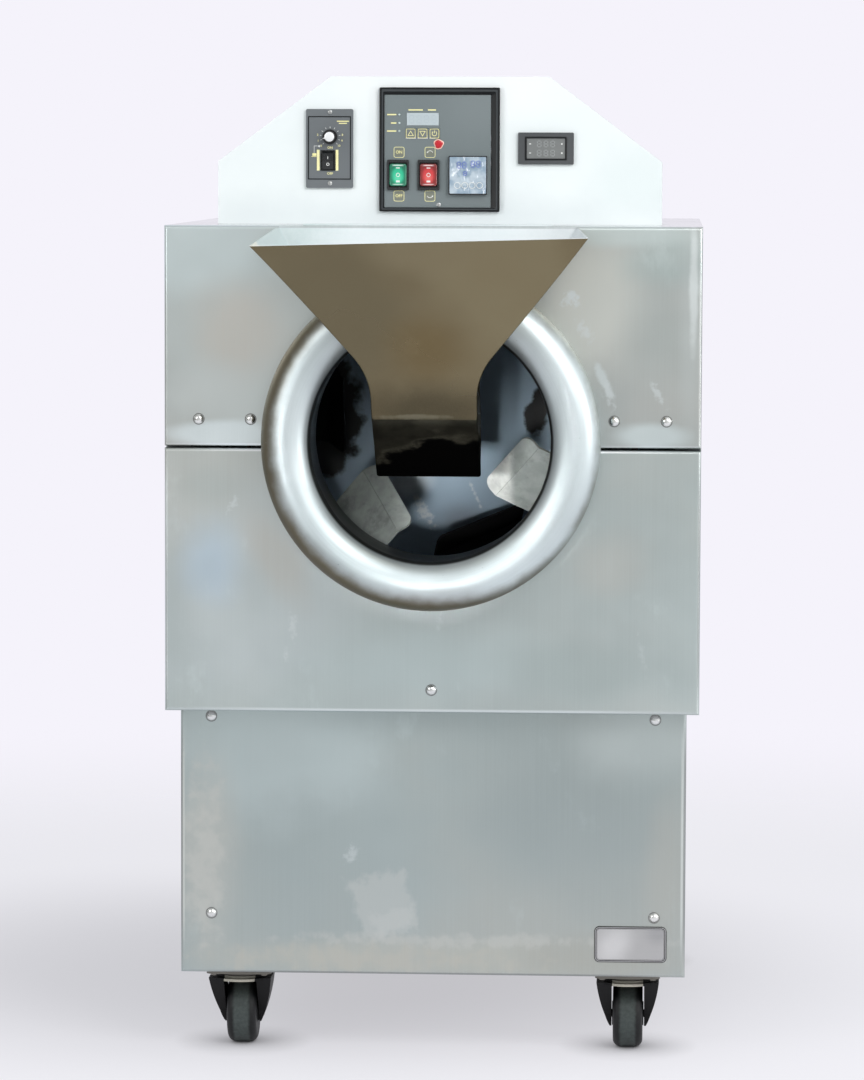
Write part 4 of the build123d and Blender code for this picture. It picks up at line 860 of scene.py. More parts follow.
WOOL = Coating("jacket_wool", (0.72, 0.70, 0.64), 0.95, 0.15, 240.0, 0.0012)
SHEATH = Coating("coil_sheath", (0.42, 0.10, 0.06), 0.6)
ALUMINIUM = Coating("driver_case", (0.62, 0.63, 0.64), 0.42, 0.06, 500.0, 0.00003, 0.0, 1.0)
MOTOR_GREY = Coating("motor_case", (0.16, 0.17, 0.18), 0.5, 0.1, 400.0, 0.0002)
IRON = Coating("bearing_iron", (0.10, 0.13, 0.12), 0.55, 0.15, 380.0, 0.0003)
TRAY_BLACK = Coating("tray_black", (0.008, 0.009, 0.010), 0.34, specular=0.25)
PLATE_GREY = Coating("plate_grey", (0.148, 0.176, 0.180), 0.5, 0.05, 700.0, patches=(
    PLATE.patch(0.050, 1.170, 0.090, 0.070, (0.185, 0.215, 0.220), 0.8, 0.1),
))
DISPLAY = Coating("display_pane", (0.46, 0.52, 0.54), 0.25, 0.04, 300.0, 0.00001, 0.6)
KEY_GREY = Coating("key_grey", (0.15, 0.165, 0.16), 0.45, 0.06)
SWITCH_BLACK = Coating("switch_black", (0.014, 0.015, 0.016), 0.28, 0.1, 800.0, 0.00003, 0.2)
ROCKER_GREEN = rocker_paint("rocker_green", ROCKER_X[0], (0.006, 0.16, 0.085), (
    (0.020, 0.50, 0.27), (0.16, 0.72, 0.46), (0.75, 0.90, 0.82), (0.70, 0.88, 0.80)))
ROCKER_RED = rocker_paint("rocker_red", ROCKER_X[1], (0.20, 0.012, 0.012), (
    (0.62, 0.040, 0.045), (0.80, 0.20, 0.17), (0.90, 0.72, 0.70), (0.88, 0.70, 0.68)))
FILM_FACE = Coating("controller_film", (0.50, 0.56, 0.60), 0.3)
SPEED_GREY = Coating("speed_grey", (0.125, 0.138, 0.146), 0.5, 0.06)
KNOB_BLACK = Coating("knob_black", (0.012, 0.012, 0.013), 0.3)
METER_GREY = Coating("meter_grey", (0.058, 0.062, 0.066), 0.5)
METER_PANE = Coating("meter_pane", (0.17, 0.178, 0.175), 0.22, 0.03, 300.0, 0.00001, 0.6)
GLAND = Coating("gland_nylon", (0.02, 0.02, 0.021), 0.5)
ZINC = Coating("caster_zinc", (0.19, 0.18, 0.16), 0.45, 0.12, 160.0, 0.00004, 0.0, 0.8)
FORK_BLACK = Coating("fork_black", (0.005, 0.005, 0.0054), 0.46, 0.15, 420.0, 0.00006, specular=0.15)
RUBBER = Coating("wheel_rubber", (0.008, 0.0085, 0.009), 0.5, 0.2, 700.0, 0.0001, specular=0.25)

# The pale inside is painted reflection of the pale backdrop; the side-wall patches are painted shade, the
# small pale patch a painted highlight,
# and the line at the back edge a painted shadow
HOPPER_INSIDE = SheetSteel("hopper_inside", (0.80, 0.87, 0.88), (0.84, 0.88, 0.88), 0.40,
                           (200.0, 200.0, 9.0), 0.1, metallic=0.3, patches=(
    MOUTH.patch(-0.195, 1.00, 0.115, 0.30, (0.58, 0.68, 0.67), 0.85, 0.3, 0.2),
    MOUTH.patch(0.175, 1.00, 0.080, 0.30, (0.66, 0.71, 0.72), 0.85, 0.3, 0.2),
    Patch((-0.205, -0.475, 1.00), (0.022, 0.035, 0.05), (0.86, 0.86, 0.76), 0.9, 0.5, 0.1),
    Face(-0.30).edge(-0.006, 1.0190, 0.260, 0.0022, (0.42, 0.45, 0.45), 0.8, 1.0),
))
CHUTE = ShadedChuteSteel("chute_shade", brown_reflection=(0.075, 0.070, 0.052), shade_black=(0.0004, 0.0004, 0.0004), edge=0.769,
                    lean=0.45)
DRUM_BACK = SheetSteel("drum_back_steel", (0.37, 0.50, 0.61), (0.39, 0.51, 0.61), 0.5, (30.0, 9.0, 120.0),
                       rubs=0.002, streak=0.002, metallic=0.15, patches=(
    # Painted light: the bright patches are painted highlights and the dark one beside them painted shade; the
    # black patches are painted shade
    # where flights in shadow show dark; the scratches are marks
    BACK.patch(-0.060, 0.670, 0.042, 0.030, (0.88, 0.97, 1.0), 0.8),
    BACK.patch(0.012, 0.620, 0.045, 0.035, (0.24, 0.29, 0.35), 0.8),
    BACK.scratch(-0.040, 0.632, 0.010, 0.030, -35.0, 0.8),
    BACK.scratch(0.028, 0.655, 0.003, 0.026, -25.0, 0.7),
    BACK.patch(0.060, 0.612, 0.022, 0.030, (0.80, 0.95, 1.0), 0.7),
    BACK.patch(-0.178, 0.757, 0.060, 0.090, DARK_SHADE, 1.0, 0.8, 0.18, 30.0),
    BACK.patch(-0.175, 0.815, 0.042, 0.050, DARK_SHADE, 1.0, 0.7, 0.25, 40.0),
    BACK.patch(0.112, 0.766, 0.018, 0.038, DARK_SHADE, 1.0, 0.7, 0.25, 40.0, 20.0),
))
FLIGHTS = FlightSteel("flight_steel", pale=(0.93, 0.955, 0.91), left_shade=(0.34, 0.37, 0.345),
                      shaded=(0.44, 0.48, 0.455), shade_black=(0.012, 0.012, 0.013), axis_z=AXIS_Z,
                      front_depth=-0.090, shell_radius=0.205, shade_height=0.800)
# Painted highlight: the middle band of the tread is lighter where the light fell
TREAD_HIGHLIGHT = Coating("tread_highlight", (0.050, 0.061, 0.058), 0.36, 0.15, 260.0, 0.0001, specular=0.3)
CROWN_ZINC = Coating("crown_zinc", (0.42, 0.40, 0.34), 0.45, specular=0.2)
WHEELS = TwoTone("wheel_tread", TREAD_HIGHLIGHT, RUBBER, edge=0.0095, soft=0.0024)
FORKS = TwoTone("fork_paint", CROWN_ZINC, FORK_BLACK, edge=0.0190, soft=0.0004)
TRAY_FACE = Coating("tray_face", (0.045, 0.050, 0.053), 0.36, 0.06, 700.0, specular=0.3)
YELLOW = Coating("legend_yellow", (0.80, 0.75, 0.36), 0.5, 0.06)
CREAM = Coating("legend_cream", (0.90, 0.84, 0.44), 0.45, 0.05)
PRINT_WHITE = Coating("legend_white", (0.72, 0.73, 0.70), 0.5, 0.05)
OLIVE = Coating("icon_olive", (0.17, 0.18, 0.14), 0.5, 0.08)
SEAL_RED = Coating("seal_red", (0.46, 0.004, 0.014), 0.3, 0.15, 300.0, 0.0002, 0.4)
SEAL_RIM = Coating("seal_rim", (0.80, 0.50, 0.40), 0.5, 0.1)
SEGMENTS = Coating("display_segments", (0.37, 0.43, 0.46), 0.4, 0.05)
METER_SEGMENTS = Coating("meter_segments", (0.30, 0.315, 0.31), 0.4, 0.05)
LED_CLEAR = Coating("led_clear", (0.42, 0.50, 0.49), 0.15, 0.1, 300.0, 0.00002, 0.5)
ICON_BLUE = Coating("icon_blue", (0.085, 0.13, 0.50), 0.35, 0.2)
SILVER = SheetSteel("knob_silver", (0.90, 0.91, 0.91), (0.93, 0.93, 0.92), 0.36, (900.0, 900.0, 40.0), 0.1,
                    metallic=0.4)
PLATE_CHROME = SheetSteel("name_plate_frame", (0.50, 0.51, 0.52), (0.56, 0.56, 0.56), 0.16, LEVEL_GRAIN, 0.05)
# Near black steel for painted shade on the plate's outer wall and grooves
PLATE_EDGE_SHADE = SheetSteel("name_plate_edge_shade", (0.045, 0.045, 0.047), (0.06, 0.06, 0.06), 0.3, LEVEL_GRAIN, 0.05)
PLATE_SILVER = SheetSteel("name_plate_face", (0.50, 0.50, 0.51), (0.53, 0.53, 0.53), 0.34,
                          (14.0, 400.0, 400.0), 0.05, patches=(
    # A painted highlight across the left of the face and painted shade at its right
    BASE.patch(0.222, 0.138, 0.030, 0.040, (0.72, 0.72, 0.72), 0.9, 0.1, 0.1, 22.0, 35.0),
    BASE.patch(0.277, 0.156, 0.022, 0.020, (0.40, 0.40, 0.41), 0.8, 0.1, 0.1),
))
FILM = WrinkledFilm()

# Finishes by slot of the record: all but the first bear the name of their slot
DRESS: dict[str, object] = {"stainless": STEEL, **{finish.name: finish for finish in (
    HOPPER_STEEL, COLLAR_STEEL, DRUM_STEEL, CHROME, FRAME_PAINT, PLATE_STEEL, ENAMEL, WOOL, SHEATH, ALUMINIUM,
    MOTOR_GREY, IRON, MACHINED, TRAY_BLACK, PLATE_GREY, DISPLAY, KEY_GREY, SWITCH_BLACK, ROCKER_GREEN,
    ROCKER_RED, FILM_FACE, SPEED_GREY, KNOB_BLACK, METER_GREY, METER_PANE, GLAND, ZINC, FORK_BLACK, RUBBER)}}
CORNERS = ("front_left", "front_right", "rear_left", "rear_right")
# Finishes of single nodes, which come before those of the slots
NODE_DRESS: dict[str, object] = {
    "body_top_panel": TOP_STEEL, "upper_front_panel": UPPER_STEEL, "lower_front_panel": LOWER_STEEL,
    "base_front_panel": BASE_STEEL, "base_left_panel": BASE_PLAIN, "base_right_panel": BASE_PLAIN,
    "base_rear_panel": BASE_PLAIN, "drum_back": DRUM_BACK, "drum_shaft": DRUM_BACK, "drum_flights": FLIGHTS,
    **{f"caster_fork_{corner}": FORKS for corner in CORNERS},
    **{f"caster_wheel_{corner}": WHEELS for corner in CORNERS},
}


class Wardrobe:
    """Makes each finish once and puts it on CAD nodes and pieces."""

    def __init__(self) -> None:
        """Starts with no material made."""
        self.made: dict[str, bpy.types.Material] = {}

    def get(self, finish: object) -> bpy.types.Material:
        """Returns a finish's material, making it the first time."""
        if finish.name not in self.made:
            self.made[finish.name] = finish.material()
        return self.made[finish.name]

    def put(self, item: bpy.types.Object, finish: object) -> None:
        """Gives an object this one finish."""
        item.data.materials.clear()
        item.data.materials.append(self.get(finish))

    def dress_nodes(self) -> None:
        """Gives every CAD node its own finish, or else that of its slot in the record."""
        for sub in frame["record"]["subparts"]:
            finish = NODE_DRESS.get(sub["node"], DRESS[sub["material_slot"]])
            self.put(frame["nodes"][sub["node"]], finish)
            log.info("dressed %s in %s", sub["node"], finish.name)


WARDROBE = Wardrobe()


def at_depth(outline: np.ndarray, y: float) -> np.ndarray:
    """Stands a flat outline of (x, z) points up at one y."""
    return np.stack([outline[:, 0], np.full(len(outline), y), outline[:, 1]], axis=-1)


def laid(outline: np.ndarray, y: float, z: float, slope: float, lift: float) -> np.ndarray:
    """Lays a flat outline on a slanted plane that passes y at the height z, lifted towards the front.

    Args:
        outline: (x, z) points.
        y: the plane's y at the height z.
        z: that height.
        slope: how much y grows for each step up.
        lift: how far in front of the plane.

    Returns:
        Points as (x, y, z) rows.
    """
    points = at_depth(outline, y - lift)
    points[:, 1] += slope * (outline[:, 1] - z)
    return points


def rounded(width: float, height: float, radius: float, centre: Spot, count: int = 5) -> np.ndarray:
    """Outline of a rectangle with round corners.

    Each corner is a quarter circle about a point that lies one radius in from both sides, and the
    corners follow each other counter-clockwise.

    Args:
        width: its full width.
        height: its full height.
        radius: its corners' radius.
        centre: its middle.
        count: steps in each quarter circle.

    Returns:
        Points as (x, z) rows.
    """
    quarter = np.linspace(0.0, np.pi / 2, count + 1)
    angle = (np.arange(4)[:, None] * np.pi / 2 + quarter).ravel()
    signs = np.array([[1, 1], [-1, 1], [-1, -1], [1, -1]])
    middles = np.repeat(signs * [width / 2 - radius, height / 2 - radius], count + 1, axis=0)
    return np.array(centre) + middles + radius * np.stack([np.cos(angle), np.sin(angle)], axis=-1)


def sided(corners: int, radius: float, turn: float, centre: Spot) -> np.ndarray:
    """Outline of a regular polygon whose first corner stands at an angle."""
    angle = math.radians(turn) + np.arange(corners) * 2 * np.pi / corners
    return np.array(centre) + radius * np.stack([np.cos(angle), np.sin(angle)], axis=-1)


def arc_band(radius: float, width: float, start: float, end: float, centre: Spot,
             count: int = 20) -> np.ndarray:
    """Outline of a strip along an arc: out along the larger radius, back along the smaller.

    Args:
        radius: radius of the strip's middle line.
        width: the strip's width.
        start: first angle in degrees.
        end: last angle in degrees.
        centre: the arc's centre.
        count: steps along the arc.

    Returns:
        Points as (x, z) rows.
    """
    angle = np.radians(np.linspace(start, end, count + 1))
    ray = np.stack([np.cos(angle), np.sin(angle)], axis=-1)
    return np.array(centre) + np.concatenate([ray * (radius + width / 2), ray[::-1] * (radius - width / 2)])


class Shape:
    """Collects grids of points and makes one piece of them."""

    def __init__(self, name: str) -> None:
        """Starts an empty shape.

        Args:
            name: the piece's name.
        """
        self.name = name
        self.points: list[np.ndarray] = []
        self.faces: list[list[int]] = []
        self.slots: list[int] = []
        self.count = 0

    def raw(self, points: np.ndarray, faces: list[list[int]], slots: list[int]) -> "Shape":
        """Adds points and the faces that join them.

        Args:
            points: rows of x, y and z.
            faces: corner numbers of each face, counted within these points.
            slots: material number of each face.

        Returns:
            This shape.
        """
        self.faces += [[corner + self.count for corner in face] for face in faces]
        self.slots += slots
        self.points.append(points)
        self.count += len(points)
        return self

    def grid(self, points: np.ndarray, ring: bool = False, loop: bool = False,
             caps: tuple[bool, bool] = (False, False), slot: object = 0) -> "Shape":
        """Adds a grid of points whose neighbours are joined by quads.

        Args:
            points: rows x columns x 3.
            ring: whether each row's last point joins its first.
            loop: whether the last row joins the first.
            caps: whether the first and the last row are filled by a face.
            slot: material number, one for all or one for each strip between two rows.

        Returns:
            This shape.
        """
        rows, columns = points.shape[:2]
        index = np.arange(rows * columns).reshape(rows, columns)
        ends = index[0], index[-1]
        if ring:
            index = np.concatenate([index, index[:, :1]], axis=1)
        if loop:
            index = np.concatenate([index, index[:1]], axis=0)
        quads = np.stack([index[:-1, :-1], index[:-1, 1:], index[1:, 1:], index[1:, :-1]], axis=-1)
        strips = np.broadcast_to(np.asarray(slot), quads.shape[0])
        slots = np.repeat(strips, quads.shape[1]).tolist()
        faces = quads.reshape(-1, 4).tolist()
        if caps[0]:
            faces.append(ends[0][::-1].tolist())
            slots.append(int(strips[0]))
        if caps[1]:
            faces.append(ends[1].tolist())
            slots.append(int(strips[-1]))
        return self.raw(points.reshape(-1, 3), faces, slots)

    def slab(self, outline: np.ndarray, back: float, front: float, slot: int = 0) -> "Shape":
        """Adds a flat plate: one outline at two depths, closed at both."""
        return self.grid(np.stack([at_depth(outline, back), at_depth(outline, front)]), ring=True,
                         caps=(True, True), slot=slot)

    def band(self, outer: np.ndarray, inner: np.ndarray, back: float, front: float, slot: int = 0) -> "Shape":
        """Adds a flat frame between two outlines of equal count, as a closed ring of four edges."""
        rows = [at_depth(outer, back), at_depth(outer, front), at_depth(inner, front), at_depth(inner, back)]
        return self.grid(np.stack(rows), ring=True, loop=True, slot=slot)

    def tiers(self, rows: tuple[tuple[float, ...], ...], centre: Spot, seat: float, count: int = 5,
              **joins: object) -> "Shape":
        """Adds rounded rectangles that stand in front of each other, joined by quads.

        Args:
            rows: width, height, corner radius and rise of each rectangle.
            centre: x and z of their middle.
            seat: y of the surface that they rise from.
            count: steps in each corner.
            joins: loop, caps and slot as for a grid.

        Returns:
            This shape.
        """
        outlines = [at_depth(rounded(wide, tall, bend, centre, count), seat - rise)
                    for wide, tall, bend, rise in rows]
        return self.grid(np.stack(outlines), ring=True, **joins)

    def turned(self, centre: Point, profile: np.ndarray, upright: bool = False, count: int = 32,
               slot: int = 0) -> "Shape":
        """Adds a turned form: each profile point (radius, place along the axis) runs round the axis.

        Args:
            centre: a point on the axis.
            profile: radius and place along the axis, from one end to the other.
            upright: whether the axis is Z, not Y.
            count: steps round it.
            slot: material number.

        Returns:
            This shape.
        """
        angle = np.linspace(0.0, 2 * np.pi, count, endpoint=False)
        radius, along = profile[:, :1], np.repeat(profile[:, 1:], count, axis=1)
        across = (radius * np.cos(angle), radius * np.sin(angle))
        order = (*across, along) if upright else (across[0], along, across[1])
        return self.grid(np.stack(order, axis=-1) + np.array(centre), ring=True, caps=(True, True), slot=slot)

    def screw(self, centre: Spot, seat: float, radius: float = 0.0027, rise: float = 0.0014) -> "Shape":
        """Adds a domed screw head with a cross recess.

        The head's height falls from its middle to its rim with the square of the radius. Inside a cross
        of two bars the surface is drawn in by a third of the rise, and a skirt goes down to the seat.

        Args:
            centre: x and z of its middle.
            seat: y of the surface that it sits on.
            radius: the head's radius.
            rise: how far it stands out.

        Returns:
            This shape.
        """
        bar_half, bar_reach, depth = 0.13, 0.62, 0.34
        angle = np.linspace(0.0, 2 * np.pi, 48, endpoint=False)
        share = np.linspace(0.03, 1.0, 16)[:, None]
        x, z = share * np.cos(angle), share * np.sin(angle)
        level = np.maximum(np.abs(x) / bar_half, np.abs(z) / bar_reach)
        upright = np.maximum(np.abs(z) / bar_half, np.abs(x) / bar_reach)
        sunk = np.clip((1.15 - np.minimum(level, upright)) / 0.3, 0.0, 1.0) * depth
        out = rise * (1.0 - 0.55 * share ** 2 - sunk)
        head = np.stack([centre[0] + radius * x, seat - out, centre[1] + radius * z], axis=-1)
        skirt = head[-1:].copy()
        skirt[..., 1] = seat
        return self.grid(np.concatenate([head, skirt]), ring=True, caps=(True, True))

    def word(self, text: str, size: float, centre: Spot, back: float, front: float,
             bold: float = 0.00008) -> "Shape":
        """Adds a raised word that faces the front.

        Args:
            text: the word or number.
            size: height of its line.
            centre: x and z of its middle.
            back: y of the surface that it stands on.
            front: y of its face.
            bold: how much each stroke is widened.

        Returns:
            This shape.
        """
        curve = bpy.data.curves.new("word", "FONT")
        curve.body, curve.size, curve.offset, curve.extrude = text, size, bold, (back - front) / 2
        curve.align_x, curve.align_y, curve.resolution_u = "CENTER", "CENTER", 3
        holder = bpy.data.objects.new("word", curve)
        bpy.context.scene.collection.objects.link(holder)
        mesh = bpy.data.meshes.new_from_object(holder.evaluated_get(bpy.context.evaluated_depsgraph_get()))
        flat = np.empty(len(mesh.vertices) * 3, dtype=np.float32)
        mesh.vertices.foreach_get("co", flat)
        x, up, out = flat.reshape(-1, 3).T
        points = np.stack([centre[0] + x, (back + front) / 2 - out, centre[1] + up], axis=-1).astype(float)
        faces = [list(face.vertices) for face in mesh.polygons]
        bpy.data.objects.remove(holder)
        bpy.data.curves.remove(curve)
        bpy.data.meshes.remove(mesh)
        return self.raw(points, faces, [0] * len(faces))

    def digits(self, count: int, centre: Spot, size: Spot, pitch: float, back: float,
               front: float) -> "Shape":
        """Adds a row of seven-bar digits: three level bars and four upright ones in each.

        Args:
            count: how many digits.
            centre: x and z of the row's middle.
            size: width and height of a digit.
            pitch: distance from one digit to the next.
            back: y of the surface they stand on.
            front: y of their faces.

        Returns:
            This shape.
        """
        width, height = size
        bar, half = width * 0.16, height / 2
        for number in range(count):
            x = centre[0] + (number - (count - 1) / 2) * pitch
            for level in (-half, 0.0, half):
                self.slab(rounded(width * 0.72, bar, bar * 0.4, (x, centre[1] + level), 2), back, front)
            for side, level in product((-1, 1), repeat=2):
                place = (x + side * width / 2, centre[1] + level * half / 2)
                self.slab(rounded(bar, half * 0.74, bar * 0.4, place, 2), back, front)
        return self

    def mesh_object(self, *finishes: object, corner: float = 35.0, outward: bool = True) -> bpy.types.Object:
        """Makes the mesh object, smooth except across edges sharper than a corner.

        Args:
            finishes: the finishes, in the order of the material numbers.
            corner: the least angle in degrees that stays sharp.
            outward: whether the faces of closed forms are turned outwards.

        Returns:
            The new object, linked to the scene.
        """
        mesh = bpy.data.meshes.new(self.name)
        mesh.from_pydata(np.concatenate(self.points), [], self.faces)
        for finish in finishes:
            mesh.materials.append(WARDROBE.get(finish))
        mesh.polygons.foreach_set("material_index", self.slots)
        if outward:
            work = bmesh.new()
            work.from_mesh(mesh)
            bmesh.ops.recalc_face_normals(work, faces=work.faces)
            work.to_mesh(mesh)
            work.free()
        mesh.polygons.foreach_set("use_smooth", np.ones(len(mesh.polygons), dtype=bool))
        mesh.set_sharp_from_angle(angle=math.radians(corner))
        mesh.update()
        item = bpy.data.objects.new(self.name, mesh)
        bpy.context.scene.collection.objects.link(item)
        return item

    def piece(self, body: Body, *finishes: object, slot: str, stands_for: tuple[str, ...] = (),
              **form: object) -> None:
        """Makes the piece, lets it ride on a body and reports it.

        Args:
            body: the CAD body that carries it.
            finishes: its finishes, in the order of the material numbers.
            slot: the record's material slot that it follows; not used.
            stands_for: CAD nodes that it replaces.
            form: corner and outward as for a mesh object.
        """
        item = self.mesh_object(*finishes, **form)
        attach(item, body.value)
        if stands_for:
            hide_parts(*stands_for)
        log.info("made %s on %s", self.name, body.value)


@dataclass
class Studio:
    """Floor, light and camera, set up as in the photograph."""

    camera_place: Point = (0.28798, -5.75976, 1.10273)
    yaw: float = math.radians(3.01)
    pitch: float = math.radians(4.82)
    roll: float = math.radians(0.18)
    lens: float = 151.35
    sensor: float = 36.0
    backdrop: Colour = (0.913, 0.896, 0.965)
    left_wall: Colour = (0.30, 0.30, 0.29)
    front_wall: Colour = (0.66, 0.67, 0.67)
    right_wall: Colour = (1.0, 1.0, 1.0)
    ambient: Colour = (0.93, 0.96, 1.0)
    ambient_power: float = 0.62
    floor_colour: Colour = (0.83, 0.825, 0.85)
    floor_reach: float = 3.2
    floor_fade: float = 1.3
    floor_glow: float = 0.76
    floor_shadow: Colour = (0.655, 0.65, 0.685)
    floor_pale: Colour = (0.90, 0.893, 0.94)
    floor_shadow_at: Spot = (-0.2, 0.35)
    floor_shadow_from: float = 0.22
    floor_shadow_to: float = 1.0
    contact_reach: float = 0.07

    def camera(self) -> None:
        """Places the camera by its fitted yaw, pitch and roll.

        The viewing direction is turned left by the yaw and down by the pitch, and the picture's
        right and up directions are turned about it by the roll.
        """
        data = bpy.data.cameras.new("camera")
        data.sensor_fit = "VERTICAL"
        data.sensor_height = self.sensor
        data.lens = self.lens
        data.clip_end = 60.0
        ahead = Vector((-math.sin(self.yaw) * math.cos(self.pitch),
                        math.cos(self.yaw) * math.cos(self.pitch), -math.sin(self.pitch)))
        right = Vector((math.cos(self.yaw), math.sin(self.yaw), 0.0))
        up = right.cross(ahead)
        level = math.cos(self.roll) * right + math.sin(self.roll) * up
        upright = math.cos(self.roll) * up - math.sin(self.roll) * right
        turn = Matrix((level, upright, -ahead)).transposed()
        item = bpy.data.objects.new("camera", data)
        item.matrix_world = Matrix.Translation(self.camera_place) @ turn.to_4x4()
        bpy.context.scene.collection.objects.link(item)
        bpy.context.scene.camera = item
        bpy.context.scene.view_settings.view_transform = "Standard"

    def world(self) -> None:
        """Lights the room: pale all round, dimmer in front and to the left, as a room's walls would be."""
        world = bpy.data.worlds.new("studio")
        bpy.context.scene.world = world
        world.use_nodes = True
        g = NodeTree(world.node_tree)
        g.tree.nodes.clear()
        split = g.add("ShaderNodeSeparateXYZ")
        g.link(g.add("ShaderNodeTexCoord").outputs["Generated"], split.inputs[0])
        half = g.fill(g.add("ShaderNodeMapRange"), From_Min=-1.0, From_Max=1.0)
        g.link(split.outputs["X"], half.inputs["Value"])
        walls = g.add("ShaderNodeValToRGB")
        g.link(half.outputs["Result"], walls.inputs["Fac"])
        stops = walls.color_ramp.elements
        stops[0].color = (*self.left_wall, 1.0)
        stops[1].color = (*self.right_wall, 1.0)
        stops.new(0.5).color = (*self.front_wall, 1.0)
        behind = g.span(split.outputs["Y"], -0.15, 0.6)
        shown = g.add("ShaderNodeBackground")
        g.link(g.tint(behind, walls.outputs["Color"], self.backdrop), shown.inputs["Color"])
        ambient = g.add("ShaderNodeBackground")
        g.fill(ambient, Color=(*self.ambient, 1.0), Strength=self.ambient_power)
        out = g.add("ShaderNodeOutputWorld")
        g.link(g.blend(g.seen(), ambient.outputs[0], shown.outputs[0]), out.inputs["Surface"])

    def softbox(self, name: str, place: Point, aim: Point, size: float, watts: float) -> None:
        """Adds a square area lamp that looks at a point.

        Args:
            name: the lamp's name.
            place: where it hangs.
            aim: the point it looks at.
            size: its side in metres.
            watts: its power.
        """
        data = bpy.data.lights.new(name, "AREA")
        data.size = size
        data.energy = watts
        self.hang(data, place, aim)

    def beam(self, name: str, place: Point, aim: Point, cone: float, watts: float) -> None:
        """Adds a soft-edged spot lamp that looks at a point.

        Args:
            name: the lamp's name.
            place: where it hangs.
            aim: the point it looks at.
            cone: the full angle of its beam in degrees.
            watts: its power.
        """
        data = bpy.data.lights.new(name, "SPOT")
        data.spot_size = math.radians(cone)
        data.spot_blend = 0.5
        data.shadow_soft_size = 0.08
        data.energy = watts
        self.hang(data, place, aim)

    def hang(self, data: bpy.types.Light, place: Point, aim: Point) -> None:
        """Puts a lamp in its place and turns it.

        Args:
            data: the lamp.
            place: where it hangs.
            aim: the point it looks at.
        """
        lamp = bpy.data.objects.new(data.name, data)
        lamp.location = place
        lamp.rotation_euler = (Vector(aim) - Vector(place)).to_track_quat("-Z", "Y").to_euler()
        bpy.context.scene.collection.objects.link(lamp)

    def floor(self) -> None:
        """Adds a round floor that fades into the backdrop: rings of points whose radius grows outwards.

        The camera and reflections see mostly a pale glow, with a painted shadow round the object and darker
        where something stands close, so the shadow stays soft.
        """
        turn = np.linspace(0.0, 2 * np.pi, 96, endpoint=False)
        rings = np.linspace(0.0, 1.0, 24)[1:] * self.floor_reach
        grid = np.stack([np.outer(rings, np.cos(turn)), np.outer(rings, np.sin(turn)),
                         np.zeros((rings.size, turn.size))], axis=-1)
        item = Shape("floor").grid(grid, ring=True, caps=(True, False)).mesh_object()
        g = NodeGraph("floor_paper")
        soft = g.noise(1.7, 2.0)
        g.colour(g.tint(g.span(soft, 0.3, 0.7, 0.0, 1.0), self.floor_colour, shade(self.floor_colour, 1.02)))
        g.set(Roughness=0.9, Specular_IOR_Level=0.1)
        # Painted shadow: the glow dims towards a point behind the object
        shadow_x, shadow_y = self.floor_shadow_at
        away = g.length(g.stretched((1.0, 1.0, 0.0), move=(-shadow_x, -shadow_y, 0.0)))
        pale = g.tint(g.span(away, self.floor_shadow_from, self.floor_shadow_to), self.floor_shadow, self.floor_pale)
        close = g.fill(g.add("ShaderNodeAmbientOcclusion", samples=8), Distance=self.contact_reach)
        g.link(pale, close.inputs["Color"])
        glow = g.add("ShaderNodeEmission")
        g.link(close.outputs["Color"], glow.inputs["Color"])
        lit = g.blend(g.math("MULTIPLY", g.seen(), self.floor_glow), g.shader.outputs[0], glow.outputs[0])
        far = g.span(g.length(g.place), self.floor_fade, self.floor_reach * 0.97)
        faded = g.blend(far, lit, g.add("ShaderNodeBsdfTransparent").outputs[0])
        g.link(faded, g.tree.nodes["Material Output"].inputs["Surface"])
        item.data.materials.append(g.material)

    def build(self) -> None:
        """Sets up the whole studio."""
        self.camera()
        self.world()
        self.softbox("key", (1.9, -3.0, 2.9), (0.0, -0.2, 0.75), 1.8, 80.0)
        self.softbox("fill", (-2.4, -2.6, 1.9), (0.0, -0.2, 0.7), 1.6, 34.0)
        self.softbox("rim", (2.7, -1.3, 1.1), (0.15, -0.3, 0.76), 0.5, 12.0)
        self.beam("drum_fill", (-0.95, -2.3, 0.80), (0.0, FRONT_Y, 0.735), 6.4, 120.0)
        self.beam("drum_back", (0.0, -3.2, 0.69), (0.0, DRUM_BACK_Y, 0.69), 3.4, 230.0)
        self.beam("drum_side", (-0.05, -3.2, 0.72), (0.12, DRUM_BACK_Y, 0.79), 1.5, 300.0)
        self.beam("drum_right", (-0.50, -2.3, 0.70), (0.12, -0.16, 0.70), 2.6, 170.0)
        self.beam("drum_left", (0.45, -2.3, 0.72), (-0.10, -0.16, 0.66), 2.6, 80.0)
        self.floor()
        log.info("studio set up")


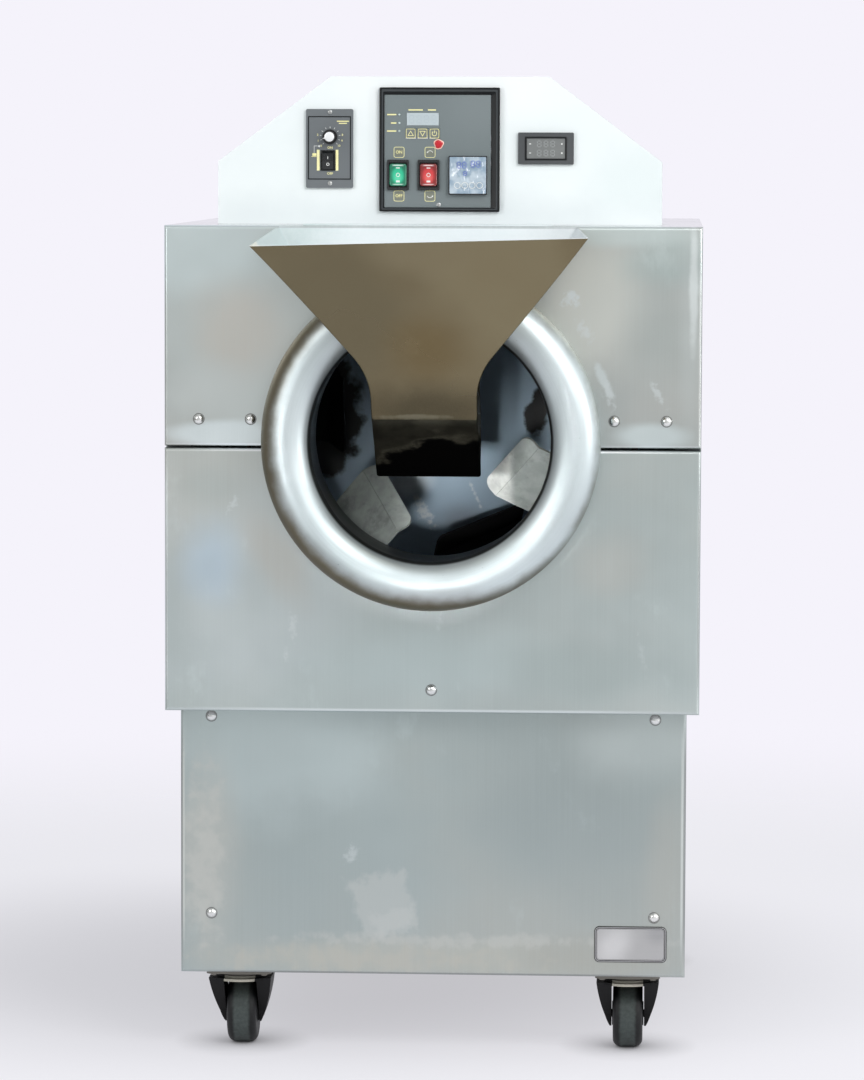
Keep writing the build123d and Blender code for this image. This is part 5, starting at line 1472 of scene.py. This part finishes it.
@dataclass
class Hopper:
    """Feed hopper of folded sheet: a wide slanted bin that narrows to a chute into the drum's mouth."""

    shift: float = -0.006
    sheet: float = 0.0015
    bend: float = 0.0035
    half_chute: float = 0.0635
    flare: float = math.radians(36.5)
    neck: float = 0.100
    front_knee: float = 0.8229
    back_knee: float = 0.8604
    reach: float = 0.200
    front_line: tuple[Spot, ...] = ((-0.200, 1.004), (-0.1656, 0.9514), (-0.060, 0.790), (0.040, 0.715))
    back_line: tuple[Spot, ...] = ((-0.002, 1.0185), (-0.069, 0.9514), (-0.069, 0.878), (0.040, 0.79625))
    steps: tuple[int, ...] = (10, 30, 8)
    side_steps: int = 8
    skew: float = 0.027
    hook_half: float = 0.150
    hook_line: tuple[Spot, ...] = ((-0.002, 1.014), (-0.002, 1.0203), (0.0217, 1.0203), (0.0217, 1.0063))

    def half_width(self, depth: np.ndarray, z: np.ndarray) -> np.ndarray:
        """Half the width at a depth and height.

        Below the knee it is the chute's half width and above it grows with the flare; a circle of the
        neck's radius is laid into the bend, tangent to both lines.

        Args:
            depth: depths behind the body's front.
            z: heights.

        Returns:
            Half widths.
        """
        knee = self.back_knee + (self.back_knee - self.front_knee) * depth / self.reach
        tangent = self.neck * math.tan(self.flare / 2)
        rise = z - knee
        inside = np.clip(rise + tangent, 0.0, self.neck)
        circle = self.neck - np.sqrt(self.neck ** 2 - inside ** 2)
        slanted = rise * math.tan(self.flare)
        return self.half_chute + np.where(rise < -tangent, 0.0,
                                          np.where(rise > tangent * math.cos(self.flare), slanted, circle))

    def line(self, corners: tuple[Spot, ...]) -> np.ndarray:
        """Points along a broken line, each run divided into its number of steps."""
        runs = [np.linspace(start, end, count, endpoint=False)
                for start, end, count in zip(corners[:-1], corners[1:], self.steps)]
        return np.concatenate([*runs, np.array(corners[-1:])])

    def rings(self, inset: float) -> np.ndarray:
        """Rings of points down the hopper, each corner a small curve between its two sides.

        A ring joins a point of the front line and one of the back line. Along its sides the depth and
        height run evenly from front to back and the half width follows them. Drawn in by an inset, the
        front line moves back, the back line moves forward and the half widths shrink. Towards its top the
        front is skewed, higher on the right, with the cube of the height.

        Args:
            inset: how far the walls are drawn in.

        Returns:
            Points as rings x columns x 3.
        """
        ends = []
        for corners, sign in ((self.front_line, 1.0), (self.back_line, -1.0)):
            path = self.line(corners)
            along = np.gradient(path, axis=0)
            along /= np.linalg.norm(along, axis=1, keepdims=True)
            ends.append(path + sign * inset * np.stack([-along[:, 1], along[:, 0]], axis=-1))
        share = np.linspace(0.0, 1.0, self.side_steps + 1)[:, None]
        side = ends[0][:, None] * (1 - share) + ends[1][:, None] * share
        half = self.half_width(side[..., 0], side[..., 1]) - inset / math.cos(self.flare)
        walls = [np.stack([self.shift + sign * half, FRONT_Y + side[..., 0], side[..., 1]], axis=-1)
                 for sign in (1.0, -1.0)]
        loop = np.concatenate([walls[0], walls[1][:, ::-1]], axis=1)
        fold_z, top_z = self.front_line[2][1], self.front_line[0][1]
        front = np.concatenate([1 - share[:, 0], 1 - share[::-1, 0]])
        height = np.clip((loop[..., 2] - fold_z) / (top_z - fold_z), 0.0, 1.0) ** 3
        loop[..., 2] += self.skew * (loop[..., 0] - self.shift) * height * front
        return self.rounded_corners(loop)

    def rounded_corners(self, loop: np.ndarray) -> np.ndarray:
        """Replaces the four corners of each ring by curves that leave along the ring's own sides.

        Args:
            loop: rings x columns x 3, each from the front right to the back and round to the front left.

        Returns:
            The rings with five points at each corner.
        """
        last = self.side_steps
        share = np.linspace(0.0, 1.0, 5)[:, None]
        parts = []
        for corner in (0, last, last + 1, 2 * last + 1):
            here = loop[:, corner]
            legs = [loop[:, (corner + step) % loop.shape[1]] - here for step in (-1, 1)]
            start, end = (here + leg * (self.bend / np.linalg.norm(leg, axis=1, keepdims=True))
                          for leg in legs)
            parts.append((1 - share) ** 2 * start[:, None] + 2 * share * (1 - share) * here[:, None]
                         + share ** 2 * end[:, None])
        inner = [loop[:, 1:last], loop[:, last + 2:2 * last + 1]]
        return np.concatenate([parts[0], inner[0], parts[1], parts[2], inner[1], parts[3]], axis=1)

    def skin(self) -> None:
        """Builds the walls: rings down the outside and up the inside, closed at rim and mouth."""
        outer, inner = self.rings(0.0), self.rings(self.sheet)[::-1]
        bin_rows, chute_rows = sum(self.steps[:2]), self.steps[2]
        # Outside and inside get separate copies of the steel: painted brown reflection outside, painted pale
        # reflection inside
        slots = np.array([0] * bin_rows + [1] * chute_rows + [2] + [2] * (bin_rows + chute_rows) + [2])
        Shape("hopper_walls").grid(np.concatenate([outer, inner]), ring=True, loop=True, slot=slots).piece(
            Body.HOPPER, HOPPER_STEEL, CHUTE, HOPPER_INSIDE, slot="hopper_steel", stands_for=("hopper",))

    def hook(self) -> None:
        """Builds the strap that hooks over the body's edge: a bent strip with the sheet's thickness."""
        line = np.array(self.hook_line)
        along = np.diff(line, axis=0)
        along /= np.linalg.norm(along, axis=1, keepdims=True)
        normals = np.stack([-along[:, 1], along[:, 0]], axis=-1)
        offset = np.concatenate([normals[:1], normals[:-1] + normals[1:], normals[-1:]]) * self.sheet
        outline = np.concatenate([line, (line + offset)[::-1]])
        ends = [np.stack([np.full(len(outline), self.shift + side * self.hook_half), FRONT_Y + outline[:, 0],
                          outline[:, 1]], axis=-1) for side in (-1, 1)]
        Shape("hopper_hook").grid(np.stack(ends), ring=True, caps=(True, True)).piece(
            Body.HOPPER, HOPPER_INSIDE, slot="hopper_steel")

    def build(self) -> None:
        """Builds the hopper."""
        self.skin()
        self.hook()


@dataclass
class DrumBack:
    """Back wall of the drum, dished smoothly towards the shaft."""

    rim: float = 0.208
    dish: float = 0.035
    outside: tuple[Spot, ...] = ((0.004, 0.289), (0.084, 0.289), (0.212, 0.254), (0.215, 0.254),
                                 (0.215, DRUM_BACK_Y))

    def build(self) -> None:
        """Builds one turned form: inside, the depth grows from the rim with one less the share squared."""
        share = np.linspace(1.0, 0.01, 40)
        inside = np.stack([self.rim * share, DRUM_BACK_Y + self.dish * (1 - share ** 2)], axis=-1)
        profile = np.concatenate([np.array(self.outside), inside])
        Shape("drum_back_dish").turned((0.0, 0.0, AXIS_Z), profile, count=96).piece(
            Body.DRUM, DRUM_BACK, slot="drum_steel", stands_for=("drum_back",))


@dataclass
class ControlTray:
    """Recessed control panel: its frame, plate legends, keys, switches and the controller under film."""

    width: float = 0.149
    height: float = 0.153
    middle_z: float = 1.112
    key_face: float = -0.134
    key_x: tuple[float, ...] = (-0.0358, -0.0211, -0.0064)
    key_z: float = 1.1318
    rocker_z: float = 1.0807
    rocker_half: Spot = (0.01055, 0.0138)
    icon_x: tuple[float, ...] = (-0.0502, -0.0118)
    icon_z: tuple[float, ...] = (1.1086, 1.0547)
    lamp_x: float = -0.0499
    lamp_z: tuple[float, ...] = (1.1550, 1.1446, 1.1347)
    controller: Point = (0.0353, -0.138, 1.0805)
    daub: Spot = (-0.0012, 1.1188)

    def frame(self) -> None:
        """Builds the tray's frame: rectangles one inside the other, from the box over the rim to the plate.

        Each row is a rounded rectangle with its own inset in millimetres on the left, right, top and
        bottom, at its own depth.
        """
        rows = (
            (0.0, 0.0, 0.0, 0.0, BOX_Y), (0.0, 0.0, 0.0, 0.0, -0.1356), (0.5, 0.5, 0.5, 0.5, -0.136),
            (2.3, 2.0, 2.0, 1.7, -0.136), (2.5, 2.3, 2.3, 1.9, -0.1354), (2.9, 2.7, 2.7, 2.3, -0.1359),
            (4.2, 4.6, 5.0, 3.7, -0.1359), (4.4, 4.9, 5.3, 3.9, -0.1350), (5.2, 7.6, 8.0, 4.5, -0.1340),
            (5.95, 10.95, 8.95, 4.95, PLATE_Y), (5.95, 10.95, 8.95, 4.95, -0.1315),
        )
        outlines = []
        for left, right, top, bottom, y in rows:
            wide, tall = self.width - (left + right) / 1000, self.height - (top + bottom) / 1000
            place = ((left - right) / 2000, self.middle_z + (bottom - top) / 2000)
            outlines.append(at_depth(rounded(wide, tall, 0.0016, place), y))
        slots = (0, 0, 0, 0, 1, 1, 1, 0, 0, 0)
        Shape("tray_frame").grid(np.stack(outlines), ring=True, slot=slots).piece(
            Body.CABINET, TRAY_BLACK, TRAY_FACE, slot="tray_black", outward=False, stands_for=("panel_tray",))

    def legends(self) -> None:
        """Builds the printed legends as thin raised ink: plain bars, icon frames, words and arrows."""
        back, front, top = PLATE_Y, PLATE_Y - INK, PLATE_Y - INK - INK
        bar_end, arrow = -0.0536, 0.0036
        legends = Shape("panel_legends")
        for left, right in ((-0.0388, -0.0209), (-0.0146, -0.0046)):
            legends.slab(rounded(right - left, 0.0016, 0.0005, ((left + right) / 2, 1.1608)), back, front)
        for z, left in zip(self.lamp_z, (-0.0652, -0.0604, -0.0652)):
            legends.slab(rounded(bar_end - left, 0.0016, 0.0005, ((left + bar_end) / 2, z)), back, front)
        for place in product(self.icon_x, self.icon_z):
            outer, inner = rounded(0.0132, 0.0134, 0.0026, place), rounded(0.0118, 0.0120, 0.0020, place)
            legends.band(outer, inner, back, front)
            legends.slab(rounded(0.0096, 0.0094, 0.0013, place), back, back - INK / 2, 1)
        high, low = self.icon_z
        legends.word("ON", 0.0052, (self.icon_x[0], high), back, top)
        legends.word("OFF", 0.0050, (self.icon_x[0], low), back, top)
        for z, turn in ((high, 90.0), (low, 270.0)):
            place = (self.icon_x[1], z - 0.0016 * math.sin(math.radians(turn)))
            legends.slab(arc_band(arrow, 0.0007, turn - 68, turn + 55, place), back, top, 2)
            tip = math.radians(turn + 62)
            head = (place[0] + arrow * math.cos(tip), place[1] + arrow * math.sin(tip))
            legends.slab(sided(3, 0.0014, turn + 150, head), back, top, 2)
        legends.piece(Body.CABINET, YELLOW, OLIVE, PRINT_WHITE, slot="plate_grey")

    def lamps(self) -> None:
        """Builds the three small indicator lamps: turned domes on the plate."""
        profile = np.array([[0.0014, 0.0], [0.0014, -0.0004], [0.0012, -0.0008], [0.0006, -0.00105],
                            [0.0001, -0.0011]])
        lamps = Shape("indicator_lamps")
        for z in self.lamp_z:
            lamps.turned((self.lamp_x, PLATE_Y, z), profile, count=20)
        lamps.piece(Body.CABINET, LED_CLEAR, slot="display_pane")

    def display(self) -> None:
        """Builds the faint digits on the display window."""
        size, pane_y, face_y = (0.0052, 0.0092), -0.1336, -0.13365
        row = Shape("display_digits").digits(4, (-0.0209, 1.1495), size, 0.0092, pane_y, face_y)
        row.piece(Body.CABINET, SEGMENTS, slot="display_pane")

    def keys(self) -> None:
        """Builds each key's frame line and sign, which move with the key."""
        back, front = self.key_face, self.key_face - INK
        bodies = (Body.UP_KEY, Body.DOWN_KEY, Body.POWER_KEY)
        for x, body in zip(self.key_x, bodies):
            place = (x, self.key_z)
            sign = Shape(f"{body.value}_sign")
            outer, inner = rounded(0.0117, 0.0117, 0.0018, place), rounded(0.0104, 0.0104, 0.0013, place)
            sign.band(outer, inner, back, front)
            if body is Body.POWER_KEY:
                sign.slab(arc_band(0.0028, 0.0008, 125.0, 415.0, place, 36), back, front)
                sign.slab(rounded(0.0008, 0.0034, 0.0003, (x, self.key_z + 0.0022)), back, front)
            else:
                turn = 90.0 if body is Body.UP_KEY else 270.0
                middle = (x, self.key_z - math.copysign(0.0008, math.sin(math.radians(turn))))
                sign.band(sided(3, 0.0045, turn, middle), sided(3, 0.0031, turn, middle), back, front)
            sign.piece(body, YELLOW, slot="key_grey")

    def rocker(self, body: Body, x: float, finish: object, node: str) -> None:
        """Builds a glossy rocker cap with its round and straight marks.

        The cap is a stack of rounded rectangles from the cavity to the rim; inside the rim its face dips
        towards the middle with the square of the height.

        Args:
            body: the switch cap's body.
            x: the switch's middle.
            finish: the cap's finish.
            node: the CAD node that it stands for.
        """
        wide, tall = self.rocker_half
        rows = ((1.0, 1.0, -0.1290), (1.0, 1.0, -0.1364), (0.985, 0.99, -0.1372), (0.95, 0.965, -0.1378),
                (0.89, 0.92, -0.1380), (0.7, 0.75, -0.1380), (0.4, 0.45, -0.1380), (0.02, 0.02, -0.1380))
        rim_y, dip, bend = -0.137, 0.0018, 0.0030
        place = (x, self.rocker_z)
        stack = []
        for across, up, y in rows:
            outline = rounded(2 * wide * across, 2 * tall * up, bend * across, place, 6)
            row = at_depth(outline, y)
            if y < rim_y:
                row[:, 1] += dip * (1.0 - ((outline[:, 1] - self.rocker_z) / tall) ** 2)
            stack.append(row)
        Shape(f"{node}_cap").grid(np.stack(stack), ring=True, caps=(True, True)).piece(
            body, finish, slot=finish.name, stands_for=(node,), corner=50.0)
        marks = Shape(f"{node}_marks")
        around, inside = sided(28, 0.0025, 0.0, place), sided(28, 0.0018, 0.0, place)
        marks.band(around, inside, -0.1360, -0.13635)
        marks.slab(rounded(0.0048, 0.0024, 0.0005, (x, self.rocker_z - 0.0080)), -0.1366, -0.13705)
        marks.slab(rounded(0.0048, 0.0012, 0.0004, (x, self.rocker_z + 0.0086)), -0.1366, -0.13725)
        marks.piece(body, PRINT_WHITE, slot=finish.name)

    def controller_face(self) -> None:
        """Builds the controller's film, signs, buttons and rim.

        The film is a square sheet whose height is a sum of slanted waves that die out at its edges.
        """
        x, y, z = self.controller
        half, lifted, wave_height = 0.0228, 0.00045, 0.00018
        u, v = np.meshgrid(np.linspace(-1.0, 1.0, 61), np.linspace(-1.0, 1.0, 61))
        waves = (np.sin(9 * u + 4 * v + 2 * np.sin(3 * v)) + 0.7 * np.sin(15 * v - 6 * u)
                 + 0.5 * np.sin(23 * u + 11 * v))
        still = (1 - u ** 4) * (1 - v ** 4)
        waves += 0.9 * np.sin(32 * v + 5 * np.sin(2.6 * u + 0.4)) * np.clip(0.2 - v, 0.0, 1.0)
        sheet = np.stack([x + half * u, y - (lifted + wave_height * waves * still), z + half * v], axis=-1)
        film = Shape("controller_film")
        film.grid(sheet)
        edge = np.concatenate([sheet[0], sheet[1:, -1], sheet[-1, -2::-1], sheet[-2:0:-1, 0]])
        foot = edge.copy()
        foot[:, 1] = y
        film.grid(np.stack([edge, foot]), ring=True)
        film.piece(Body.CABINET, FILM, slot="controller_film", outward=False, corner=60.0)
        signs = Shape("controller_signs")
        back, front = y - 0.0005, y - 0.0012
        for place in ((x - 0.0078, z + 0.0125), (x + 0.0095, z + 0.0138)):
            signs.digits(2, place, (0.0044, 0.0074), 0.0066, back, front)
        signs.digits(1, (x - 0.0035, z + 0.0022), (0.0040, 0.0048), 0.006, back, front)
        signs.piece(Body.CABINET, ICON_BLUE, slot="controller_film")
        buttons = Shape("controller_buttons")
        for number in range(4):
            place = (x - 0.0130 + number * 0.0092, z - 0.0125)
            buttons.band(sided(28, 0.0040, 0.0, place), sided(28, 0.0034, 0.0, place), y, y - 0.0009)
        buttons.piece(Body.CABINET, PRINT_WHITE, slot="controller_film")
        outer, inner = rounded(0.0480, 0.0480, 0.0012, (x, z)), rounded(0.0452, 0.0452, 0.0008, (x, z))
        Shape("controller_rim").band(outer, inner, y + 0.002, y - 0.0006).piece(
            Body.CABINET, SWITCH_BLACK, slot="switch_black")

    def fittings(self) -> None:
        """Builds the plate's screw and the daub of red sealing paint beside the last key."""
        Shape("plate_screw").screw((-0.0009, 1.0440), PLATE_Y).piece(
            Body.CABINET, SCREW_STEEL, slot="bolt_chrome")
        angle = np.linspace(0.0, 2 * np.pi, 40, endpoint=False)
        lobes = 1 + 0.07 * np.sin(3 * angle + 0.6) + 0.05 * np.sin(5 * angle)
        ray = np.stack([np.cos(angle), np.sin(angle)], axis=-1) * lobes[:, None]
        sizes = ((0.0062, 0.0), (0.0060, 0.0002), (0.0050, 0.0003), (0.0046, 0.0006), (0.0030, 0.0009),
                 (0.0004, 0.0010))
        rows = [at_depth(np.array(self.daub) + size * ray, PLATE_Y - rise) for size, rise in sizes]
        daub = Shape("sealing_daub").grid(np.stack(rows), ring=True, caps=(True, True), slot=(1, 1, 0, 0, 0))
        daub.piece(Body.CABINET, SEAL_RED, SEAL_RIM, slot="rocker_red", corner=60.0)

    def build(self) -> None:
        """Builds the whole tray."""
        self.frame()
        self.legends()
        self.lamps()
        self.display()
        self.keys()
        self.rocker(Body.POWER, ROCKER_X[0], ROCKER_GREEN, "power_rocker")
        self.rocker(Body.DIRECTION, ROCKER_X[1], ROCKER_RED, "direction_rocker")
        self.controller_face()
        self.fittings()


@dataclass
class SpeedControl:
    """Face of the speed controller: frame line, dial scale, switch surround, bars, screws and knob cap."""

    face_y: float = -0.134
    middle: Spot = (-0.13645, 1.11375)
    knob: Spot = (-0.1357, 1.1273)
    knob_y: float = -0.1475
    rocker_x: float = -0.1382

    def legends(self) -> None:
        """Builds the face's frame line, bars, words and the dial's ticks with plain numbers."""
        back, front = self.face_y, self.face_y - INK
        marks = Shape("speed_legends")
        outer = rounded(0.0535, 0.0783, 0.0006, self.middle)
        inner = rounded(0.0507, 0.0755, 0.0004, self.middle)
        marks.band(outer, inner, back, front, 1)
        for left, right in ((-0.1520, -0.1487), (-0.1287, -0.1254)):
            marks.slab(rounded(right - left, 0.0257, 0.0004, ((left + right) / 2, 1.0986)), back, front, 2)
        for offset, wide in ((0.0, 0.0150), (-0.0026, 0.0100)):
            marks.slab(rounded(wide, 0.0013, 0.0004, (-0.1198, 1.1466 + offset)), back, front)
        marks.word("ON", 0.0042, (self.knob[0], 1.1140), back, front)
        marks.word("OFF", 0.0042, (self.knob[0], 1.0820), back, front)
        for number in range(11):
            angle = math.radians(225.0 - 27.0 * number)
            ray = np.array((math.cos(angle), math.sin(angle)))
            start, end, label = (np.array(self.knob) + ray * radius for radius in (0.0108, 0.0128, 0.0156))
            side = np.array((-ray[1], ray[0])) * 0.0003
            marks.slab(np.stack([start - side, end - side, end + side, start + side]), back, front, 3)
            if number in (0, 1, 2, 8, 9, 10):
                marks.word(str(number), 0.0036, tuple(label), back, front)
        marks.slab(sided(20, 0.0013, 0.0, (-0.1492, 1.1158)), back, front - INK, 3)
        marks.slab(np.array([(-0.1557, 1.1163), (-0.1557, 1.1075), (-0.1552, 1.1075), (-0.1552, 1.1158),
                             (-0.1508, 1.1158), (-0.1508, 1.1163)]), back, front, 3)
        marks.slab(rounded(0.0052, 0.0034, 0.0007, (-0.1551, 1.1055)), back, front)
        marks.slab(rounded(0.0064, 0.0007, 0.0003, (-0.1556, 1.1030)), back, front)
        marks.piece(Body.CABINET, YELLOW, TRAY_BLACK, CREAM, PRINT_WHITE, slot="speed_grey")

    def switch_surround(self) -> None:
        """Builds the frame round the rocker: rounded rectangles over a rim and down into the opening."""
        rows = ((0.0186, 0.0254, 0.0012, 0.0), (0.0186, 0.0254, 0.0012, 0.0008),
                (0.0178, 0.0246, 0.0012, 0.0014), (0.0162, 0.0236, 0.0008, 0.0014),
                (0.0156, 0.0232, 0.0006, 0.0009), (0.0152, 0.0230, 0.0005, 0.0))
        Shape("speed_switch_surround").tiers(rows, (self.rocker_x, 1.0983), self.face_y, loop=True).piece(
            Body.CABINET, SWITCH_BLACK, slot="switch_black", corner=40.0)

    def switch_marks(self) -> None:
        """Builds the rocker's straight and round marks, each laid on its own slanted half of the cap."""
        marks = Shape("speed_rocker_marks")
        sunk, proud = -0.0002, 0.0001
        bar = rounded(0.0008, 0.0034, 0.0003, (self.rocker_x, 1.1016))
        ends = [laid(bar, -0.137926, 1.100, -0.390, lift) for lift in (sunk, proud)]
        marks.grid(np.stack(ends), ring=True, caps=(True, True))
        outer, inner = (sided(24, radius, 0.0, (self.rocker_x, 1.0935)) for radius in (0.0019, 0.0012))
        rows = [laid(outline, -0.137117, 1.089, 0.0229, lift)
                for outline, lift in ((outer, sunk), (outer, proud), (inner, proud), (inner, sunk))]
        marks.grid(np.stack(rows), ring=True, loop=True).piece(Body.SPEED, PRINT_WHITE, slot="switch_black")

    def screws(self) -> None:
        """Builds the two fixing screws."""
        heads = Shape("speed_screws")
        for z in (1.1578, 1.0701):
            heads.screw((-0.1358, z), self.face_y)
        heads.piece(Body.CABINET, SCREW_STEEL, slot="bolt_chrome")

    def knob_cap(self) -> None:
        """Builds the knob's silver cap: a shallow turned dome with a pointer bar towards the scale."""
        x, z = self.knob
        profile = np.array([[0.0060, 0.0], [0.0060, -0.0005], [0.0057, -0.0009], [0.0050, -0.0011],
                            [0.0030, -0.0013], [0.0002, -0.0014]])
        cap = Shape("knob_cap").turned((x, self.knob_y, z), profile, count=40)
        angle = math.radians(195.0)
        ray = np.array((math.cos(angle), math.sin(angle)))
        side = np.array((-math.sin(angle), math.cos(angle)))
        corners = ((0.0, -0.0016), (0.0060, -0.0010), (0.0088, 0.0), (0.0060, 0.0010), (0.0, 0.0016))
        pointer = np.stack([np.array(self.knob) + ray * out + side * across for out, across in corners])
        cap.slab(pointer, self.knob_y + 0.0002, self.knob_y - 0.0010)
        cap.piece(Body.DIAL, SILVER, slot="bolt_chrome")

    def build(self) -> None:
        """Builds the speed controller's details."""
        self.legends()
        self.switch_surround()
        self.switch_marks()
        self.screws()
        self.knob_cap()


@dataclass
class PanelMeter:
    """Black border and faint digits of the panel meter."""

    middle: Spot = (0.1315, 1.1138)
    face_y: float = -0.134
    screen_y: float = -0.1332

    def build(self) -> None:
        """Builds the border as rounded rectangles over a low rim, and two rows of digits on the screen."""
        rows = ((0.0520, 0.0290, 0.0008, 0.0), (0.0520, 0.0290, 0.0008, 0.0005),
                (0.0512, 0.0282, 0.0006, 0.0008), (0.0482, 0.0256, 0.0004, 0.0008),
                (0.0474, 0.0249, 0.0003, 0.0002), (0.0472, 0.0248, 0.0003, -0.0007))
        Shape("meter_border").tiers(rows, self.middle, self.face_y, loop=True).piece(
            Body.CABINET, TRAY_BLACK, slot="switch_black")
        x, screen, side = self.middle[0], self.screen_y, 0.0196
        digits = Shape("meter_digits")
        for z in (self.middle[1] + 0.0056, self.middle[1] - 0.0056):
            digits.digits(3, (x, z), (0.0046, 0.0072), 0.0084, screen, screen - 0.00008)
            digits.slab(rounded(0.0024, 0.0012, 0.0004, (x - side, z)), screen, screen - 0.0001, 1)
            digits.slab(rounded(0.0018, 0.0018, 0.0005, (x + side, z)), screen, screen - 0.0001, 1)
        digits.piece(Body.CABINET, METER_SEGMENTS, PRINT_WHITE, slot="meter_pane")


@dataclass
class NamePlate:
    """Bare name plate on the base: a bevelled chrome frame round a brushed face."""

    middle: Spot = (0.2433, 0.1418)

    def build(self) -> None:
        """Builds the plate as rounded rectangles that rise over two bevels and sink to the face, with painted
        shade on its outer wall and in its grooves.
        """
        rows = ((0.0885, 0.0445, 0.0062, 0.0), (0.0885, 0.0445, 0.0062, 0.0010),
                (0.0865, 0.0425, 0.0054, 0.0018), (0.0852, 0.0412, 0.0050, 0.0018),
                (0.0840, 0.0400, 0.0045, 0.0011), (0.0831, 0.0391, 0.0041, 0.0016),
                (0.0817, 0.0377, 0.0036, 0.0016), (0.0811, 0.0371, 0.0034, 0.0012),
                (0.04, 0.018, 0.0016, 0.0012))
        plate = Shape("name_plate").tiers(rows, self.middle, BASE_Y, 8, caps=(True, True),
                                          slot=(2, 2, 0, 2, 0, 0, 2, 1))
        plate.piece(Body.CABINET, PLATE_CHROME, PLATE_SILVER, PLATE_EDGE_SHADE, slot="bolt_chrome", corner=25.0)


@dataclass
class PanelBolts:
    """Domed bolt heads that hold the front panels."""

    body: tuple[Spot, ...] = ((-0.283, 0.786), (-0.220, 0.786), (0.220, 0.786), (0.283, 0.786), (0.0, 0.458))
    base: tuple[Spot, ...] = ((-0.272, 0.419), (0.272, 0.419), (-0.272, 0.175), (0.272, 0.175))
    dome: float = 0.0060
    rise: float = 0.0032

    def build(self) -> None:
        """Builds each head of a turned flange, darkened as painted shade, and a dome that falls with its
        radius to the power 2.6.
        """
        flange = np.array([[0.0071, 0.0], [0.0071, -0.0004], [0.0068, -0.0008], [0.0058, -0.0008]])
        share = np.linspace(1.0, 0.03, 14)
        dome = np.stack([self.dome * share, -0.0006 - self.rise * (1 - share ** 2.6)], axis=-1)
        dome = np.concatenate([[[self.dome, -0.0002]], dome])
        heads = Shape("bolt_heads")
        for places, y in ((self.body, FRONT_Y), (self.base, BASE_Y)):
            for x, z in places:
                heads.turned((x, y, z), flange, slot=1)
                heads.turned((x, y, z), dome)
        heads.piece(Body.CABINET, CHROME, BOLT_RIM_SHADE, slot="bolt_chrome", stands_for=("panel_bolts",))


@dataclass
class CasterBolts:
    """Bolt heads under the four caster plates."""

    along: tuple[float, float] = (-0.195, 0.415)
    spread: Spot = (0.031, 0.036)
    seat_z: float = 0.097

    def build(self) -> None:
        """Builds sixteen turned heads: a flat flange and a low dome that points down."""
        profile = np.array([[0.0055, 0.0], [0.0055, -0.0006], [0.0042, -0.0012], [0.0038, -0.0024],
                            [0.0026, -0.0030], [0.0003, -0.0032]])
        heads = Shape("caster_bolts")
        for x, y, side, end in product((-CASTER_X, CASTER_X), self.along, (-1, 1), (-1, 1)):
            place = (x + side * self.spread[0], y + end * self.spread[1], self.seat_z)
            heads.turned(place, profile, upright=True, count=16)
        heads.piece(Body.CABINET, ZINC, slot="caster_zinc")


def main() -> None:
    """Builds the scene in order."""
    Studio().build()
    WARDROBE.dress_nodes()
    for assembly in (Hopper, DrumBack, ControlTray, SpeedControl, PanelMeter, NamePlate, PanelBolts,
                     CasterBolts):
        assembly().build()


if __name__ == "__main__":
    main()
